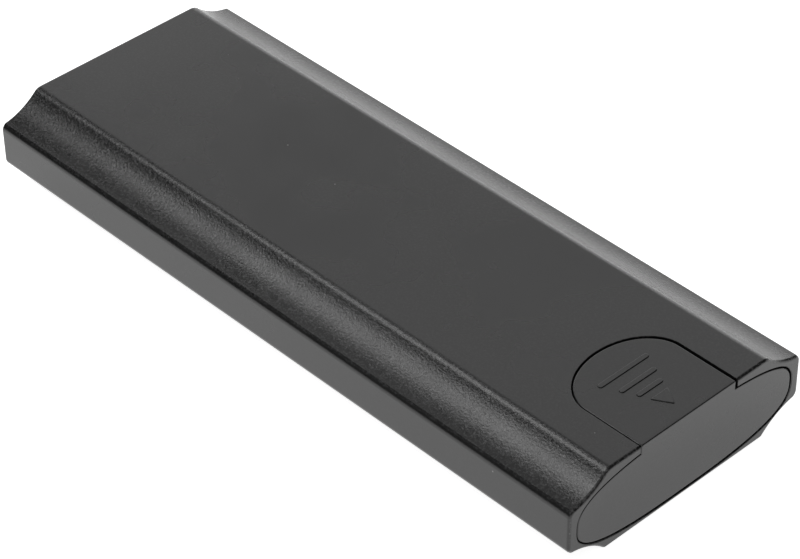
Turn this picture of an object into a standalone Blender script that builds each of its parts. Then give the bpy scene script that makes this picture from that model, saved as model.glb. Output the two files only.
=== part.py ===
"""A slim battery pack: a one-piece moulded sleeve that holds six round cells in three columns,
a pull-off end door with its contacts and latch springs, and an output board behind the rear cover.

Frame: metres, +X along the pack towards the door, +Y across it, +Z up through the thumb tongue.
The origin is the middle of the flat underside.
"""

import math

import bmesh
import bpy
from mathutils import Matrix, Vector

MM = 0.001

# ------------------------------------------------------------------ driving sizes
# Cells: three columns side by side, two cells deep.
CELL_DIAMETER = 14.5 * MM
CELL_LENGTH = 50.5 * MM
CELL_NUB_DIAMETER = 5.5 * MM
CELL_NUB_LENGTH = 1.0 * MM
CELLS_DEEP = 2
COLUMN_SIGNS = (-1, 0, 1)
COLUMN_GAP = 0.5 * MM
CELL_ROOM = 0.3 * MM

# Sleeve walls and outside shape.
FLOOR_WALL = 1.7 * MM
ROOF_WALL = 2.0 * MM
SIDE_WALL = 3.7 * MM
COVE_WALL = 1.5 * MM
GUIDE_ROOM = 4.0 * MM
COVE_WIDTH = 9.3 * MM
COVE_DEPTH = 4.55 * MM
COVE_RADIUS = 15.1 * MM
TOP_SHOULDER_RADIUS = 2.6 * MM
BOTTOM_SHOULDER_RADIUS = 0.9 * MM
SIDE_CORNER_RADIUS = 1.2 * MM
END_EDGE_RADIUS = 0.5 * MM

# Rims that take the door plate and the rear cover.
RIM_SIDE = 2.0 * MM
RIM_FLOOR = 0.8 * MM
RIM_ROOF = 1.4 * MM
RIM_EXPONENT = 2.75
BAY_STEP = 0.1 * MM
PLATE_THICKNESS = 2.2 * MM

# Thumb tongue of the door.
TONGUE_WIDTH = 24.4 * MM
TONGUE_STRAIGHT = 13.4 * MM
TONGUE_ARCH = 8.85 * MM
TONGUE_THICKNESS = 1.25 * MM
ARROW_HEIGHT = 0.15 * MM
ARROW_SLOPE = 0.12 * MM
ARROW_BAR_WIDTH = 1.15 * MM
ARROW_BARS = ((15.65 * MM, 12.8 * MM), (12.15 * MM, 9.3 * MM), (9.35 * MM, 6.4 * MM))
ARROW_HEAD_BASE = 7.2 * MM
ARROW_HEAD_TIP = 3.4 * MM
ARROW_HEAD_WIDTH = 4.6 * MM

# Contacts and springs.
CONTACT_THICKNESS = 0.4 * MM
CONTACT_PAD_HEIGHT = 0.5 * MM
CONTACT_PAD_RADIUS = 3.0 * MM
CONTACT_HEIGHT = 9.4 * MM
CONTACT_EDGE = 5.4 * MM
SPRING_LENGTH = 5.0 * MM
SPRING_BASE_RADIUS = 4.4 * MM
SPRING_TIP_RADIUS = 2.6 * MM
SPRING_WIRE = 0.8 * MM
SPRING_TURNS = 3.5
RETAINER_THICKNESS = 2.3 * MM
BULKHEAD_THICKNESS = 3.0 * MM

# Output board and the bay behind the cells.
BOARD_BAY = 37.55 * MM
BOARD_THICKNESS = 1.6 * MM
BOARD_HEIGHT = FLOOR_WALL + 3.7 * MM
BOARD_WIDTH = 39.0 * MM
JACK_Y = -10.0 * MM
JACK_LENGTH = 13.0 * MM
JACK_WIDTH = 9.0 * MM
JACK_HEIGHT = 8.2 * MM
JACK_HOLE_RADIUS = 3.15 * MM
JACK_PIN_RADIUS = 1.05 * MM
SWITCH_Y = 9.0 * MM
SWITCH_TRAVEL = 2.5 * MM
LED_Y = 0.5 * MM
LED_RADIUS = 1.5 * MM
BOSS_RADIUS = 2.7 * MM
BOSS_LENGTH = 11.0 * MM
SCREW_RADIUS = 1.0 * MM
SCREW_LENGTH = 9.0 * MM
SCREW_HEAD_RADIUS = 1.9 * MM
SCREW_HEAD_HEIGHT = 1.1 * MM

# Clearances.
GAP = 0.3 * MM
SEAM = 0.3 * MM
CLEARANCE = 0.35 * MM

# ------------------------------------------------------------------ worked-out places
CELL_RADIUS = CELL_DIAMETER / 2
PITCH = CELL_DIAMETER + COLUMN_GAP
THICKNESS = FLOOR_WALL + 2 * CELL_ROOM + CELL_DIAMETER + ROOF_WALL
BAY_HALF_HEIGHT = CELL_RADIUS + CELL_ROOM
BAY_Z = FLOOR_WALL + BAY_HALF_HEIGHT
BAY_HALF_WIDTH = PITCH + CELL_RADIUS + GUIDE_ROOM
WIDTH = 2 * (BAY_HALF_WIDTH + SIDE_WALL)

STACK = CELLS_DEEP * CELL_LENGTH
# From the contacts' faces at the door to those on the bulkhead: a pad, the cells and a spring.
CONTACT_SPAN = CONTACT_PAD_HEIGHT + GAP + STACK + GAP + SPRING_LENGTH + GAP
DOOR_STACK = PLATE_THICKNESS + GAP + RETAINER_THICKNESS + GAP + CONTACT_THICKNESS
REAR_STACK = CONTACT_THICKNESS + GAP + BULKHEAD_THICKNESS + BOARD_BAY + PLATE_THICKNESS
LENGTH = DOOR_STACK + CONTACT_SPAN + REAR_STACK

DOOR_END = LENGTH / 2
DOOR_INSIDE = DOOR_END - PLATE_THICKNESS
REAR_END = -LENGTH / 2
REAR_INSIDE = REAR_END + PLATE_THICKNESS
DOOR_CONTACT_X = DOOR_END - DOOR_STACK
REAR_CONTACT_X = DOOR_CONTACT_X - CONTACT_SPAN
BULKHEAD_FRONT = REAR_CONTACT_X - CONTACT_THICKNESS - GAP
BULKHEAD_BACK = BULKHEAD_FRONT - BULKHEAD_THICKNESS
RECESS_DEPTH = PLATE_THICKNESS + GAP

RIM_HALF_WIDTH = WIDTH / 2 - RIM_SIDE
RIM_HALF_HEIGHT = (THICKNESS - RIM_FLOOR - RIM_ROOF) / 2
RIM_Z = RIM_FLOOR + RIM_HALF_HEIGHT

TONGUE_UNDER = THICKNESS - TONGUE_THICKNESS
BOARD_TOP = BOARD_HEIGHT + BOARD_THICKNESS
BOARD_REAR = REAR_INSIDE + 3 * GAP
BOARD_FRONT = BULKHEAD_BACK - 5 * GAP
BOSS_Y = BAY_HALF_WIDTH + GAP - BOSS_RADIUS
PART_FLOOR = BOARD_TOP + GAP


# ------------------------------------------------------------------ materials
def material(name, colour, roughness, metallic=0.0):
    made = bpy.data.materials.new(name)
    made.use_nodes = True
    shader = made.node_tree.nodes["Principled BSDF"]
    shader.inputs["Base Color"].default_value = (*colour, 1.0)
    shader.inputs["Roughness"].default_value = roughness
    shader.inputs["Metallic"].default_value = metallic
    return made


# ------------------------------------------------------------------ mesh helpers
def add(name, bm, look, place=(0, 0, 0), turn=(0, 0, 0), parent=None):
    """A named object from a bmesh, at its place, under its parent."""
    bmesh.ops.recalc_face_normals(bm, faces=bm.faces)
    mesh = bpy.data.meshes.new(name)
    bm.to_mesh(mesh)
    bm.free()
    return add_mesh(name, mesh, look, place, turn, parent)


def add_mesh(name, mesh, look, place, turn=(0, 0, 0), parent=None):
    """A named object that may share its mesh with others."""
    obj = bpy.data.objects.new(name, mesh)
    bpy.context.scene.collection.objects.link(obj)
    if look and not mesh.materials:
        mesh.materials.append(look)
    mesh.shade_smooth()
    mesh.set_sharp_from_angle(angle=math.radians(35))
    obj.parent = parent
    base = Vector(parent.location) if parent else Vector()
    obj.location = Vector(place) - base
    obj.rotation_euler = turn
    return obj


def helper(name, bm):
    """A cutter or a shape to be joined: kept out of renders."""
    obj = add(name, bm, None)
    obj.hide_render = True
    obj.display_type = "WIRE"
    return obj


def combine(obj, other, operation):
    step = obj.modifiers.new(f"{operation.lower()}_{other.name}", "BOOLEAN")
    step.operation = operation
    step.object = other


def cut(obj, name, bm):
    combine(obj, helper(name, bm), "DIFFERENCE")


def join(obj, name, bm):
    combine(obj, helper(name, bm), "UNION")


def loft(rings, bm=None):
    """A closed solid through rings of points, each ring with as many points as the first."""
    bm = bm or bmesh.new()
    rows = [[bm.verts.new(p) for p in ring] for ring in rings]
    count = len(rows[0])
    for a, b in zip(rows, rows[1:]):
        for i in range(count):
            j = (i + 1) % count
            bm.faces.new((a[i], a[j], b[j], b[i]))
    bm.faces.new(rows[0])
    bm.faces.new(rows[-1])
    return bm


def along_x(outline, start, end, bm=None):
    """A prism along X from an outline of (y, z) points."""
    return loft([[(x, y, z) for y, z in outline] for x in (start, end)], bm)


def along_z(outline, low, high, bm=None):
    """A prism along Z from an outline of (x, y) points."""
    return loft([[(x, y, z) for x, y in outline] for z in (low, high)], bm)


def along_y(outline, low, high, bm=None):
    """A prism along Y from an outline of (x, z) points."""
    return loft([[(x, y, z) for x, z in outline] for y in (low, high)], bm)


def box(low, high, bm=None):
    (x0, y0, z0), (x1, y1, z1) = low, high
    return along_x([(y0, z0), (y1, z0), (y1, z1), (y0, z1)], x0, x1, bm)


def turned_x(profile, segments, centre=(0, 0), bm=None):
    """A solid turned about an X axis through centre, from (x, radius) points with both ends open."""
    rings = []
    for x, radius in profile:
        angles = [2 * math.pi * i / segments for i in range(segments)]
        rings.append([(x, centre[0] + radius * math.cos(a), centre[1] + radius * math.sin(a))
                      for a in angles])
    return loft(rings, bm)


def turned_z(profile, segments, centre=(0, 0), bm=None):
    """A solid turned about a Z axis through centre, from (z, radius) points."""
    rings = []
    for z, radius in profile:
        angles = [2 * math.pi * i / segments for i in range(segments)]
        rings.append([(centre[0] + radius * math.cos(a), centre[1] + radius * math.sin(a), z)
                      for a in angles])
    return loft(rings, bm)


def rod(path, radius, sides):
    """A round bar that follows a path of points."""
    points = [Vector(p) for p in path]
    rings = []
    side = Vector((0, 0, 1))
    for i, point in enumerate(points):
        ahead = (points[min(i + 1, len(points) - 1)] - points[max(i - 1, 0)]).normalized()
        side = (side - side.dot(ahead) * ahead).normalized()
        other = ahead.cross(side)
        angles = [2 * math.pi * k / sides for k in range(sides)]
        rings.append([point + radius * (math.cos(a) * side + math.sin(a) * other) for a in angles])
    return loft(rings)


def smooth_path(points, per_span):
    """Points on a Catmull-Rom curve through the given points."""
    p = [Vector(q) for q in points]
    p = [2 * p[0] - p[1], *p, 2 * p[-1] - p[-2]]
    found = []
    for i in range(1, len(p) - 2):
        for k in range(per_span):
            t = k / per_span
            found.append(0.5 * (2 * p[i] + (p[i + 1] - p[i - 1]) * t
                                + (2 * p[i - 1] - 5 * p[i] + 4 * p[i + 1] - p[i + 2]) * t ** 2
                                + (3 * p[i] - p[i - 1] - 3 * p[i + 1] + p[i + 2]) * t ** 3))
    return [*found, p[-2]]


# ------------------------------------------------------------------ outlines
def arc(centre, radius, start, end, steps):
    return [(centre[0] + radius * math.cos(start + (end - start) * i / steps),
             centre[1] + radius * math.sin(start + (end - start) * i / steps))
            for i in range(steps + 1)]


def superellipse(half_width, half_height, exponent, centre_z, count=48):
    """A rounded racetrack outline, counter-clockwise, as (y, z) points."""
    outline = []
    for i in range(count):
        t = 2 * math.pi * i / count
        c, s = math.cos(t), math.sin(t)
        outline.append((half_width * math.copysign(abs(c) ** (2 / exponent), c),
                        centre_z + half_height * math.copysign(abs(s) ** (2 / exponent), s)))
    return outline


def rim_outline(inset=0.0):
    return superellipse(RIM_HALF_WIDTH - inset, RIM_HALF_HEIGHT - inset, RIM_EXPONENT, RIM_Z)


def cove_centre():
    """The centre of the cove's arc, for the lower cove at +Y: outside the body, below and beyond it."""
    edge = Vector((WIDTH / 2 - COVE_WIDTH, 0.0))
    wall = Vector((WIDTH / 2, COVE_DEPTH))
    chord = wall - edge
    away = Vector((chord.y, -chord.x)).normalized()
    return (edge + wall) / 2 + away * math.sqrt(COVE_RADIUS ** 2 - chord.length_squared / 4)


def quarter_outline(shoulder, inset):
    """From the flat underside to the side wall at +Y: shoulder, cove and corner, moved in by inset."""
    centre = cove_centre()
    reach = COVE_RADIUS + shoulder
    first = Vector((centre.x - math.sqrt(reach ** 2 - (shoulder - centre.y) ** 2), shoulder))
    wall = WIDTH / 2 - SIDE_CORNER_RADIUS
    reach = COVE_RADIUS + SIDE_CORNER_RADIUS
    last = Vector((wall, centre.y + math.sqrt(reach ** 2 - (wall - centre.x) ** 2)))
    to_first, to_last = first - centre, last - centre
    angle_first = math.atan2(to_first.y, to_first.x)
    angle_last = math.atan2(to_last.y, to_last.x)
    return [*arc(first, shoulder - inset, -math.pi / 2, angle_first - math.pi, 4),
            *arc(centre, COVE_RADIUS + inset, angle_first, angle_last, 8)[1:-1],
            *arc(last, SIDE_CORNER_RADIUS - inset, angle_last - math.pi, 0.0, 4)]


def mirrored(low, high):
    """A whole outline from its lower quarter at +Y, and a quarter measured down from the top face."""
    right = [*low, *[(y, THICKNESS - z) for y, z in reversed(high)]]
    return [*right, *[(-y, z) for y, z in reversed(right)]]


def bay_quarter(wall, rim, inset):
    """From the floor to the side wall at +Y: kept inside the rim and off the cove's wall."""
    centre = cove_centre()
    reach = COVE_RADIUS + COVE_WALL + inset
    start, end = 0.45 * BAY_HALF_WIDTH, BAY_HALF_WIDTH - inset
    steps = 10
    points = []
    for i in range(steps + 1):
        y = start + (end - start) * i / steps
        cove = centre.y + math.sqrt(max(0.0, reach ** 2 - (y - centre.x) ** 2))
        share = (1 - (y / RIM_HALF_WIDTH) ** RIM_EXPONENT) ** (1 / RIM_EXPONENT)
        edge = rim + RIM_HALF_HEIGHT * (1 - share) + BAY_STEP
        points.append((y, max(wall + inset, cove, edge + inset)))
    return points


def side_reach():
    """How far up and down from the middle of the bay a piece along its side wall can go."""
    return BAY_Z - bay_quarter(FLOOR_WALL, RIM_FLOOR, 0.0)[-1][1] - 2 * GAP


def bay_outline(inset=0.0):
    return mirrored(bay_quarter(FLOOR_WALL, RIM_FLOOR, inset), bay_quarter(ROOF_WALL, RIM_ROOF, inset))


def outside_outline(inset=0.0):
    """The sleeve's outside, counter-clockwise from the underside."""
    return mirrored(quarter_outline(BOTTOM_SHOULDER_RADIUS, inset),
                    quarter_outline(TOP_SHOULDER_RADIUS, inset))


def tongue_outline(grow=0.0, end=DOOR_END):
    """The thumb tongue seen from above: straight sides to the door end and an elliptical arch."""
    start = DOOR_END - TONGUE_STRAIGHT
    half = TONGUE_WIDTH / 2 + grow
    steps = 20
    curve = [(start - (TONGUE_ARCH + grow) * math.sin(math.pi * i / steps),
              half * math.cos(math.pi * i / steps)) for i in range(steps + 1)]
    return [(end, half), *curve, (end, -half)]


# ------------------------------------------------------------------ sleeve
def sleeve(look):
    edge = END_EDGE_RADIUS
    steps = [math.pi / 2 * k / 2 for k in range(3)]
    near = [(DOOR_END - edge + edge * math.sin(a), edge * (1 - math.cos(a))) for a in steps]
    far = [(-x, inset) for x, inset in reversed(near)]
    body = add("housing_sleeve",
               loft([[(x, y, z) for y, z in outside_outline(inset)] for x, inset in [*far, *near]]),
               look)
    past = 2 * MM
    cut(body, "cut_bay", along_x(bay_outline(), REAR_END - past, DOOR_END + past))
    cut(body, "cut_door_rim", along_x(rim_outline(), DOOR_END - RECESS_DEPTH, DOOR_END + past))
    cut(body, "cut_rear_rim", along_x(rim_outline(), REAR_END - past, REAR_END + RECESS_DEPTH))
    cut(body, "cut_tongue_notch",
        along_z(tongue_outline(SEAM, DOOR_END + past), BAY_Z, THICKNESS + past))
    half = latch_half_height() + 2 * GAP
    for side in (-1, 1):
        cut(body, f"cut_latch_groove_{side}",
            box((LATCH_BUMP_X - LATCH_BUMP, side * (BAY_HALF_WIDTH + LATCH_GROOVE), BAY_Z - half),
                (LATCH_BUMP_X + LATCH_BUMP, side * (BAY_HALF_WIDTH - past), BAY_Z + half)))
        add_ribs(body, side)
        add_boss(body, side)
    return body


RIB_WIDTH = 0.8 * MM
RIB_TOP = FLOOR_WALL + 1.7 * MM
STRIP_WIDTH = 2.4 * MM
STRIP_TOP = FLOOR_WALL + 3.5 * MM
STRIP_Y = PITCH / 2


def add_ribs(body, side):
    """Two floor ribs between columns, with a channel for a strip between them, and a board ledge."""
    root = FLOOR_WALL / 2
    for k, edge in enumerate((-1, 1)):
        y = side * STRIP_Y + edge * (STRIP_WIDTH / 2 + CLEARANCE + RIB_WIDTH / 2)
        join(body, f"cell_rib_{side}_{k}",
             box((BULKHEAD_FRONT + GAP, y - RIB_WIDTH / 2, root),
                 (DOOR_CONTACT_X - 2 * MM, y + RIB_WIDTH / 2, RIB_TOP)))
    ledge = side * (BOARD_WIDTH / 2 - 2.5 * MM)
    join(body, f"board_ledge_{side}",
         box((BOARD_REAR + MM, ledge - RIB_WIDTH, root),
             (BOARD_FRONT - MM, ledge + RIB_WIDTH, BOARD_HEIGHT - GAP)))


def add_boss(body, side):
    """A boss inside the side wall that takes a rear cover screw."""
    front = REAR_INSIDE + GAP + BOSS_LENGTH
    shape = turned_x([(REAR_INSIDE + GAP, BOSS_RADIUS), (front, BOSS_RADIUS)], 20,
                     (side * BOSS_Y, BAY_Z))
    join(body, f"boss_{side}", shape)
    outer = side * (BAY_HALF_WIDTH + MM)
    join(body, f"boss_web_{side}",
         box((REAR_INSIDE + GAP + 0.1 * MM, min(side * BOSS_Y, outer), BAY_Z - 0.8 * MM),
             (front - 0.1 * MM, max(side * BOSS_Y, outer), BAY_Z + 0.8 * MM)))
    cut(body, f"boss_hole_{side}",
        turned_x([(REAR_INSIDE - MM, SCREW_RADIUS + GAP), (front - MM, SCREW_RADIUS + GAP)], 16,
                 (side * BOSS_Y, BAY_Z)))


# ------------------------------------------------------------------ door
TAB_LENGTH = 15.0 * MM
TAB_THICKNESS = 1.7 * MM
TAB_OUTSIDE = BAY_HALF_WIDTH - 1.1 * MM
LATCH_THICKNESS = 0.3 * MM
LATCH_GROOVE = 1.0 * MM
LATCH_BUMP = 1.8 * MM
LATCH_BUMP_X = DOOR_INSIDE - TAB_LENGTH + 3.5 * MM
WING_WIDTH = 2.0 * MM
WING_HEIGHT = 1.0 * MM


def latch_half_height():
    return 0.6 * side_reach()


def door_plate_outline():
    """The end plate: the rim's outline less the seam, raised to the tongue's top across its width."""
    half = TONGUE_WIDTH / 2
    outline = rim_outline(SEAM)
    inset_w, inset_h = RIM_HALF_WIDTH - SEAM, RIM_HALF_HEIGHT - SEAM
    shoulder = RIM_Z + inset_h * (1 - (half / inset_w) ** RIM_EXPONENT) ** (1 / RIM_EXPONENT)
    kept = [(y, z) for y, z in outline if not (abs(y) <= half + SEAM and z > RIM_Z)]
    right = [p for p in kept if p[0] >= 0 and p[1] > RIM_Z]
    cut_at = kept.index(right[-1]) + 1
    step = [(half, shoulder), (half, THICKNESS), (-half, THICKNESS), (-half, shoulder)]
    return [*kept[:cut_at], *step, *kept[cut_at:]]


def door_cover(look, parent):
    place = Vector(parent.location)
    body = add("door_cover", shifted(along_x(door_plate_outline(), DOOR_INSIDE, DOOR_END), place),
               look, place, parent=parent)
    embed = 0.9 * MM
    join(body, "tongue", along_z(tongue_outline(end=DOOR_INSIDE + embed), TONGUE_UNDER, THICKNESS))
    # A rail under the tongue whose wings run beneath the sleeve's roof.
    neck = TONGUE_WIDTH / 2 - CLEARANCE
    wing_top = THICKNESS - ROOF_WALL - CLEARANCE
    rail = (DOOR_CONTACT_X - 0.5 * MM, DOOR_INSIDE + embed)
    join(body, "rail_neck", box((rail[0], -neck, wing_top - WING_HEIGHT),
                                (rail[1], neck, TONGUE_UNDER + embed / 2)))
    join(body, "rail_wings", box((rail[0] + 0.1 * MM, -neck - WING_WIDTH, wing_top - 0.9 * WING_HEIGHT),
                                 (rail[1] - 0.1 * MM, neck + WING_WIDTH, wing_top)))
    reach = side_reach()
    for side in (-1, 1):
        inner, outer = sorted((side * (TAB_OUTSIDE - TAB_THICKNESS), side * TAB_OUTSIDE))
        join(body, f"guide_tab_{side}",
             box((DOOR_INSIDE - TAB_LENGTH, inner, BAY_Z - reach),
                 (DOOR_INSIDE + embed, outer, BAY_Z + reach)))
    raise_arrow(body)
    return body


def raise_arrow(body):
    """Three bars that shorten towards a triangle, which points off the end: low, with sloped sides."""
    for k, (back, length) in enumerate(ARROW_BARS):
        emboss(body, f"arrow_bar_{k}", lambda inset: bar_outline(DOOR_END - back, length, inset))
    emboss(body, "arrow_head", head_outline)


def bar_outline(x, length, inset):
    radius = ARROW_BAR_WIDTH / 2 - inset
    centre = length / 2 - ARROW_BAR_WIDTH / 2
    return [*arc((x, centre), radius, 0.0, math.pi, 6), *arc((x, -centre), radius, math.pi, 2 * math.pi, 6)]


def head_outline(inset):
    base, tip = DOOR_END - ARROW_HEAD_BASE, DOOR_END - ARROW_HEAD_TIP
    half = ARROW_HEAD_WIDTH / 2
    middle = Vector((base + (tip - base) / 3, 0.0))
    share = 1 - inset / ((tip - base) / 3)
    corners = [Vector((base, -half)), Vector((tip, 0.0)), Vector((base, half))]
    return [middle + (corner - middle) * share for corner in corners]


def emboss(body, name, outline):
    """A raised shape whose outline narrows by the slope from the surface up to its top."""
    root = TONGUE_THICKNESS / 2
    rings = [(THICKNESS - root, 0.0), (THICKNESS, 0.0), (THICKNESS + ARROW_HEIGHT, ARROW_SLOPE)]
    join(body, name, loft([[(x, y, z) for x, y in outline(inset)] for z, inset in rings]))


def shifted(bm, place):
    """The same shape drawn about its own origin at place."""
    bmesh.ops.transform(bm, matrix=Matrix.Translation(-Vector(place)), verts=bm.verts)
    return bm


def latch_spring(name, side, look, parent):
    """A leaf on the guide tab's outside, with a bump that sits in the sleeve's groove."""
    inner = TAB_OUTSIDE + GAP
    bump = BAY_HALF_WIDTH + LATCH_GROOVE - 2 * GAP - LATCH_THICKNESS
    ramp = LATCH_BUMP - 2 * GAP
    line = [(LATCH_BUMP_X - ramp - MM, inner), (LATCH_BUMP_X - ramp, inner), (LATCH_BUMP_X, bump),
            (LATCH_BUMP_X + ramp, inner), (DOOR_INSIDE - GAP, inner)]
    outline = [*line, *[(x, y + LATCH_THICKNESS) for x, y in reversed(line)]]
    half = latch_half_height()
    shape = along_z([(x, side * y) for x, y in outline], BAY_Z - half, BAY_Z + half)
    place = (LATCH_BUMP_X, side * TAB_OUTSIDE, BAY_Z)
    return add(name, shifted(shape, place), look, place, parent=parent)


def contact_plate(name, x_low, x_high, y_low, y_high, pads, pad_side, look, parent=None):
    """A stamped contact with a raised pad for each positive end it meets."""
    half = CONTACT_HEIGHT / 2
    nip = 1.2 * MM
    outline = [(y_low, -half + nip), (y_low + nip, -half), (y_high - nip, -half), (y_high, -half + nip),
               (y_high, half - nip), (y_high - nip, half), (y_low + nip, half), (y_low, half - nip)]
    place = ((x_low + x_high) / 2, (y_low + y_high) / 2, BAY_Z)
    shape = along_x([(y, BAY_Z + z) for y, z in outline], x_low, x_high)
    plate = add(name, shifted(shape, place), look, place, parent=parent)
    face = x_low if pad_side < 0 else x_high
    for k, y in enumerate(pads):
        profile = [(face - pad_side * CONTACT_THICKNESS / 2, CONTACT_PAD_RADIUS),
                   (face + pad_side * CONTACT_PAD_HEIGHT / 2, CONTACT_PAD_RADIUS),
                   (face + pad_side * CONTACT_PAD_HEIGHT, CONTACT_PAD_RADIUS - 0.6 * MM)]
        join(plate, f"{name}_pad_{k}", turned_x(sorted(profile), 20, (y, BAY_Z)))
    return plate


def spring_mesh():
    """A conical coil, its wide turn at x = 0 and its tip towards +X, both ends flattened."""
    steps = int(SPRING_TURNS * 16)
    rise = SPRING_LENGTH - SPRING_WIRE
    path = []
    for i in range(steps + 1):
        t = i / steps
        eased = min(1.0, max(0.0, (t * SPRING_TURNS - 0.6) / (SPRING_TURNS - 1.2)))
        radius = SPRING_BASE_RADIUS + (SPRING_TIP_RADIUS - SPRING_BASE_RADIUS) * t
        angle = 2 * math.pi * SPRING_TURNS * t
        path.append((SPRING_WIRE / 2 + rise * eased, radius * math.cos(angle), radius * math.sin(angle)))
    bm = rod(path, SPRING_WIRE / 2, 6)
    bmesh.ops.recalc_face_normals(bm, faces=bm.faces)
    mesh = bpy.data.meshes.new("conical_spring")
    bm.to_mesh(mesh)
    bm.free()
    return mesh


def door_inside(looks, spring, parent):
    """Contacts and their retainer on the inside of the door."""
    face = DOOR_CONTACT_X
    back = face + CONTACT_THICKNESS
    contact_plate("door_bridge_contact", face, back, -PITCH - CONTACT_EDGE, CONTACT_EDGE,
                  [-PITCH], -1, looks["contact"], parent)
    single = contact_plate("door_single_contact", face, back, STRIP_Y - STRIP_WIDTH / 2,
                           PITCH + CONTACT_EDGE, [PITCH], -1, looks["contact"], parent)
    tail = STRIP_WIDTH / 2 - GAP
    join(single, "contact_tail",
         box((face, STRIP_Y - tail, RIB_TOP - 0.5 * MM), (back, STRIP_Y + tail, BAY_Z)))
    add_mesh("door_spring", spring, looks["spring"], (face - GAP, 0, BAY_Z),
             (0, 0, math.pi), parent)
    low, high = back + GAP, back + GAP + RETAINER_THICKNESS
    half_y, half_z = PITCH + CONTACT_EDGE + MM, CONTACT_HEIGHT / 2 + 0.8 * MM
    place = ((low + high) / 2, 0, BAY_Z)
    shape = box((low, -half_y, BAY_Z - half_z), (high, half_y, BAY_Z + half_z))
    retainer = add("contact_retainer", shifted(shape, place), looks["moulding"], place, parent=parent)
    for sign in COLUMN_SIGNS:
        cut(retainer, f"cut_retainer_{sign}",
            turned_x([(low - MM, 4.0 * MM), (high + MM, 4.0 * MM)], 24, (sign * PITCH, BAY_Z)))
    for side in (-1, 1):
        latch_spring("latch_spring_left" if side < 0 else "latch_spring_right", side,
                     looks["spring"], parent)


# ------------------------------------------------------------------ cells
def cell_mesh():
    """A round cell along X, centred between its flat end at -X and its nub at +X."""
    half, r, nub = CELL_LENGTH / 2, CELL_RADIUS, CELL_NUB_DIAMETER / 2
    shoulder = half - CELL_NUB_LENGTH
    profile = [(-half, r - 0.9 * MM), (-half + 0.5 * MM, r), (shoulder - 0.7 * MM, r),
               (shoulder, r - 0.8 * MM), (shoulder - 0.3 * MM, r - 1.6 * MM),
               (shoulder - 0.3 * MM, nub + 0.4 * MM), (shoulder, nub), (half - 0.2 * MM, nub),
               (half, nub - 0.3 * MM)]
    bm = turned_x(profile, 24)
    bmesh.ops.recalc_face_normals(bm, faces=bm.faces)
    mesh = bpy.data.meshes.new("round_cell")
    bm.to_mesh(mesh)
    bm.free()
    return mesh


def cells(look, parent):
    """Outer columns face the door with their nubs; the middle one is turned round."""
    mesh = cell_mesh()
    meet = 0.05 * MM
    for sign in COLUMN_SIGNS:
        nub_out = sign != 0
        front = DOOR_CONTACT_X - CONTACT_PAD_HEIGHT - GAP if nub_out else (
            DOOR_CONTACT_X - GAP - SPRING_LENGTH - GAP)
        for k in range(CELLS_DEEP):
            x = front - CELL_LENGTH * (k + 0.5) - meet * k
            number = (sign + 1) * CELLS_DEEP + k + 1
            add_mesh(f"cell_{number}", mesh, look, (x, sign * PITCH, BAY_Z),
                     (0, 0, 0.0 if nub_out else math.pi), parent)


# ------------------------------------------------------------------ inside the sleeve
def side_guide(name, side, look):
    """A rail with a hollow face that fills the room between an outer column and the bay's side."""
    reach = side_reach()
    steps = 6
    heights = [reach * (2 * i / steps - 1) for i in range(steps + 1)]
    wall = BAY_HALF_WIDTH - GAP
    hollow = CELL_RADIUS + CLEARANCE
    inner = [(PITCH + math.sqrt(hollow ** 2 - z ** 2), z) for z in heights]
    outline = [(side * y, BAY_Z + z) for y, z in [*inner, (wall, reach), (wall, -reach)]]
    front = DOOR_INSIDE - TAB_LENGTH - 2 * MM
    place = (0, side * (BAY_HALF_WIDTH - GUIDE_ROOM / 2), BAY_Z)
    shape = along_x(outline, BULKHEAD_FRONT + GAP, front)
    return add(name, shifted(shape, place), look, place)


def bulkhead(look):
    """The wall behind the cells that carries the rear contacts and the board's front edge."""
    place = ((BULKHEAD_FRONT + BULKHEAD_BACK) / 2, 0, BAY_Z)
    body = add("contact_bulkhead",
               shifted(along_x(bay_outline(CLEARANCE), BULKHEAD_BACK, BULKHEAD_FRONT), place),
               look, place)
    half = STRIP_WIDTH / 2 + CLEARANCE
    cut(body, "cut_strip_notch",
        box((BULKHEAD_BACK - MM, STRIP_Y - half, 0), (BULKHEAD_FRONT + MM, STRIP_Y + half, RIB_TOP)))
    cut(body, "cut_lead_notch",
        box((BULKHEAD_BACK - MM, -STRIP_Y - half, 0), (BULKHEAD_FRONT + MM, -STRIP_Y + half, RIB_TOP)))
    for sign in COLUMN_SIGNS:
        cut(body, f"cut_relief_{sign}",
            turned_x([(BULKHEAD_BACK - MM, 2.0 * MM), (BULKHEAD_FRONT + MM, 2.0 * MM)], 20,
                     (sign * PITCH, BAY_Z)))
    lug = 3.6 * MM
    for side in (-1, 1):
        y = side * (BOARD_WIDTH / 2 - 6 * MM)
        for k, (low, high) in enumerate(((BOARD_HEIGHT - 1.6 * MM, BOARD_HEIGHT - GAP),
                                         (BOARD_TOP + GAP, BOARD_TOP + 1.6 * MM))):
            join(body, f"board_lug_{side}_{k}",
                 box((BULKHEAD_BACK - lug, y - 2 * MM, low),
                     (BULKHEAD_BACK + MM, y + 2 * MM, high)))
    return body


def rear_contacts(looks, spring):
    face = REAR_CONTACT_X
    back = face - CONTACT_THICKNESS
    contact_plate("rear_single_contact", back, face, -PITCH - CONTACT_EDGE, -PITCH + CONTACT_EDGE,
                  [], 1, looks["contact"])
    contact_plate("rear_bridge_contact", back, face, -CONTACT_EDGE, PITCH + CONTACT_EDGE,
                  [0.0], 1, looks["contact"])
    for sign, name in ((-1, "rear_spring_left"), (1, "rear_spring_right")):
        add_mesh(name, spring, looks["spring"], (face + GAP, sign * PITCH, BAY_Z))


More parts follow.
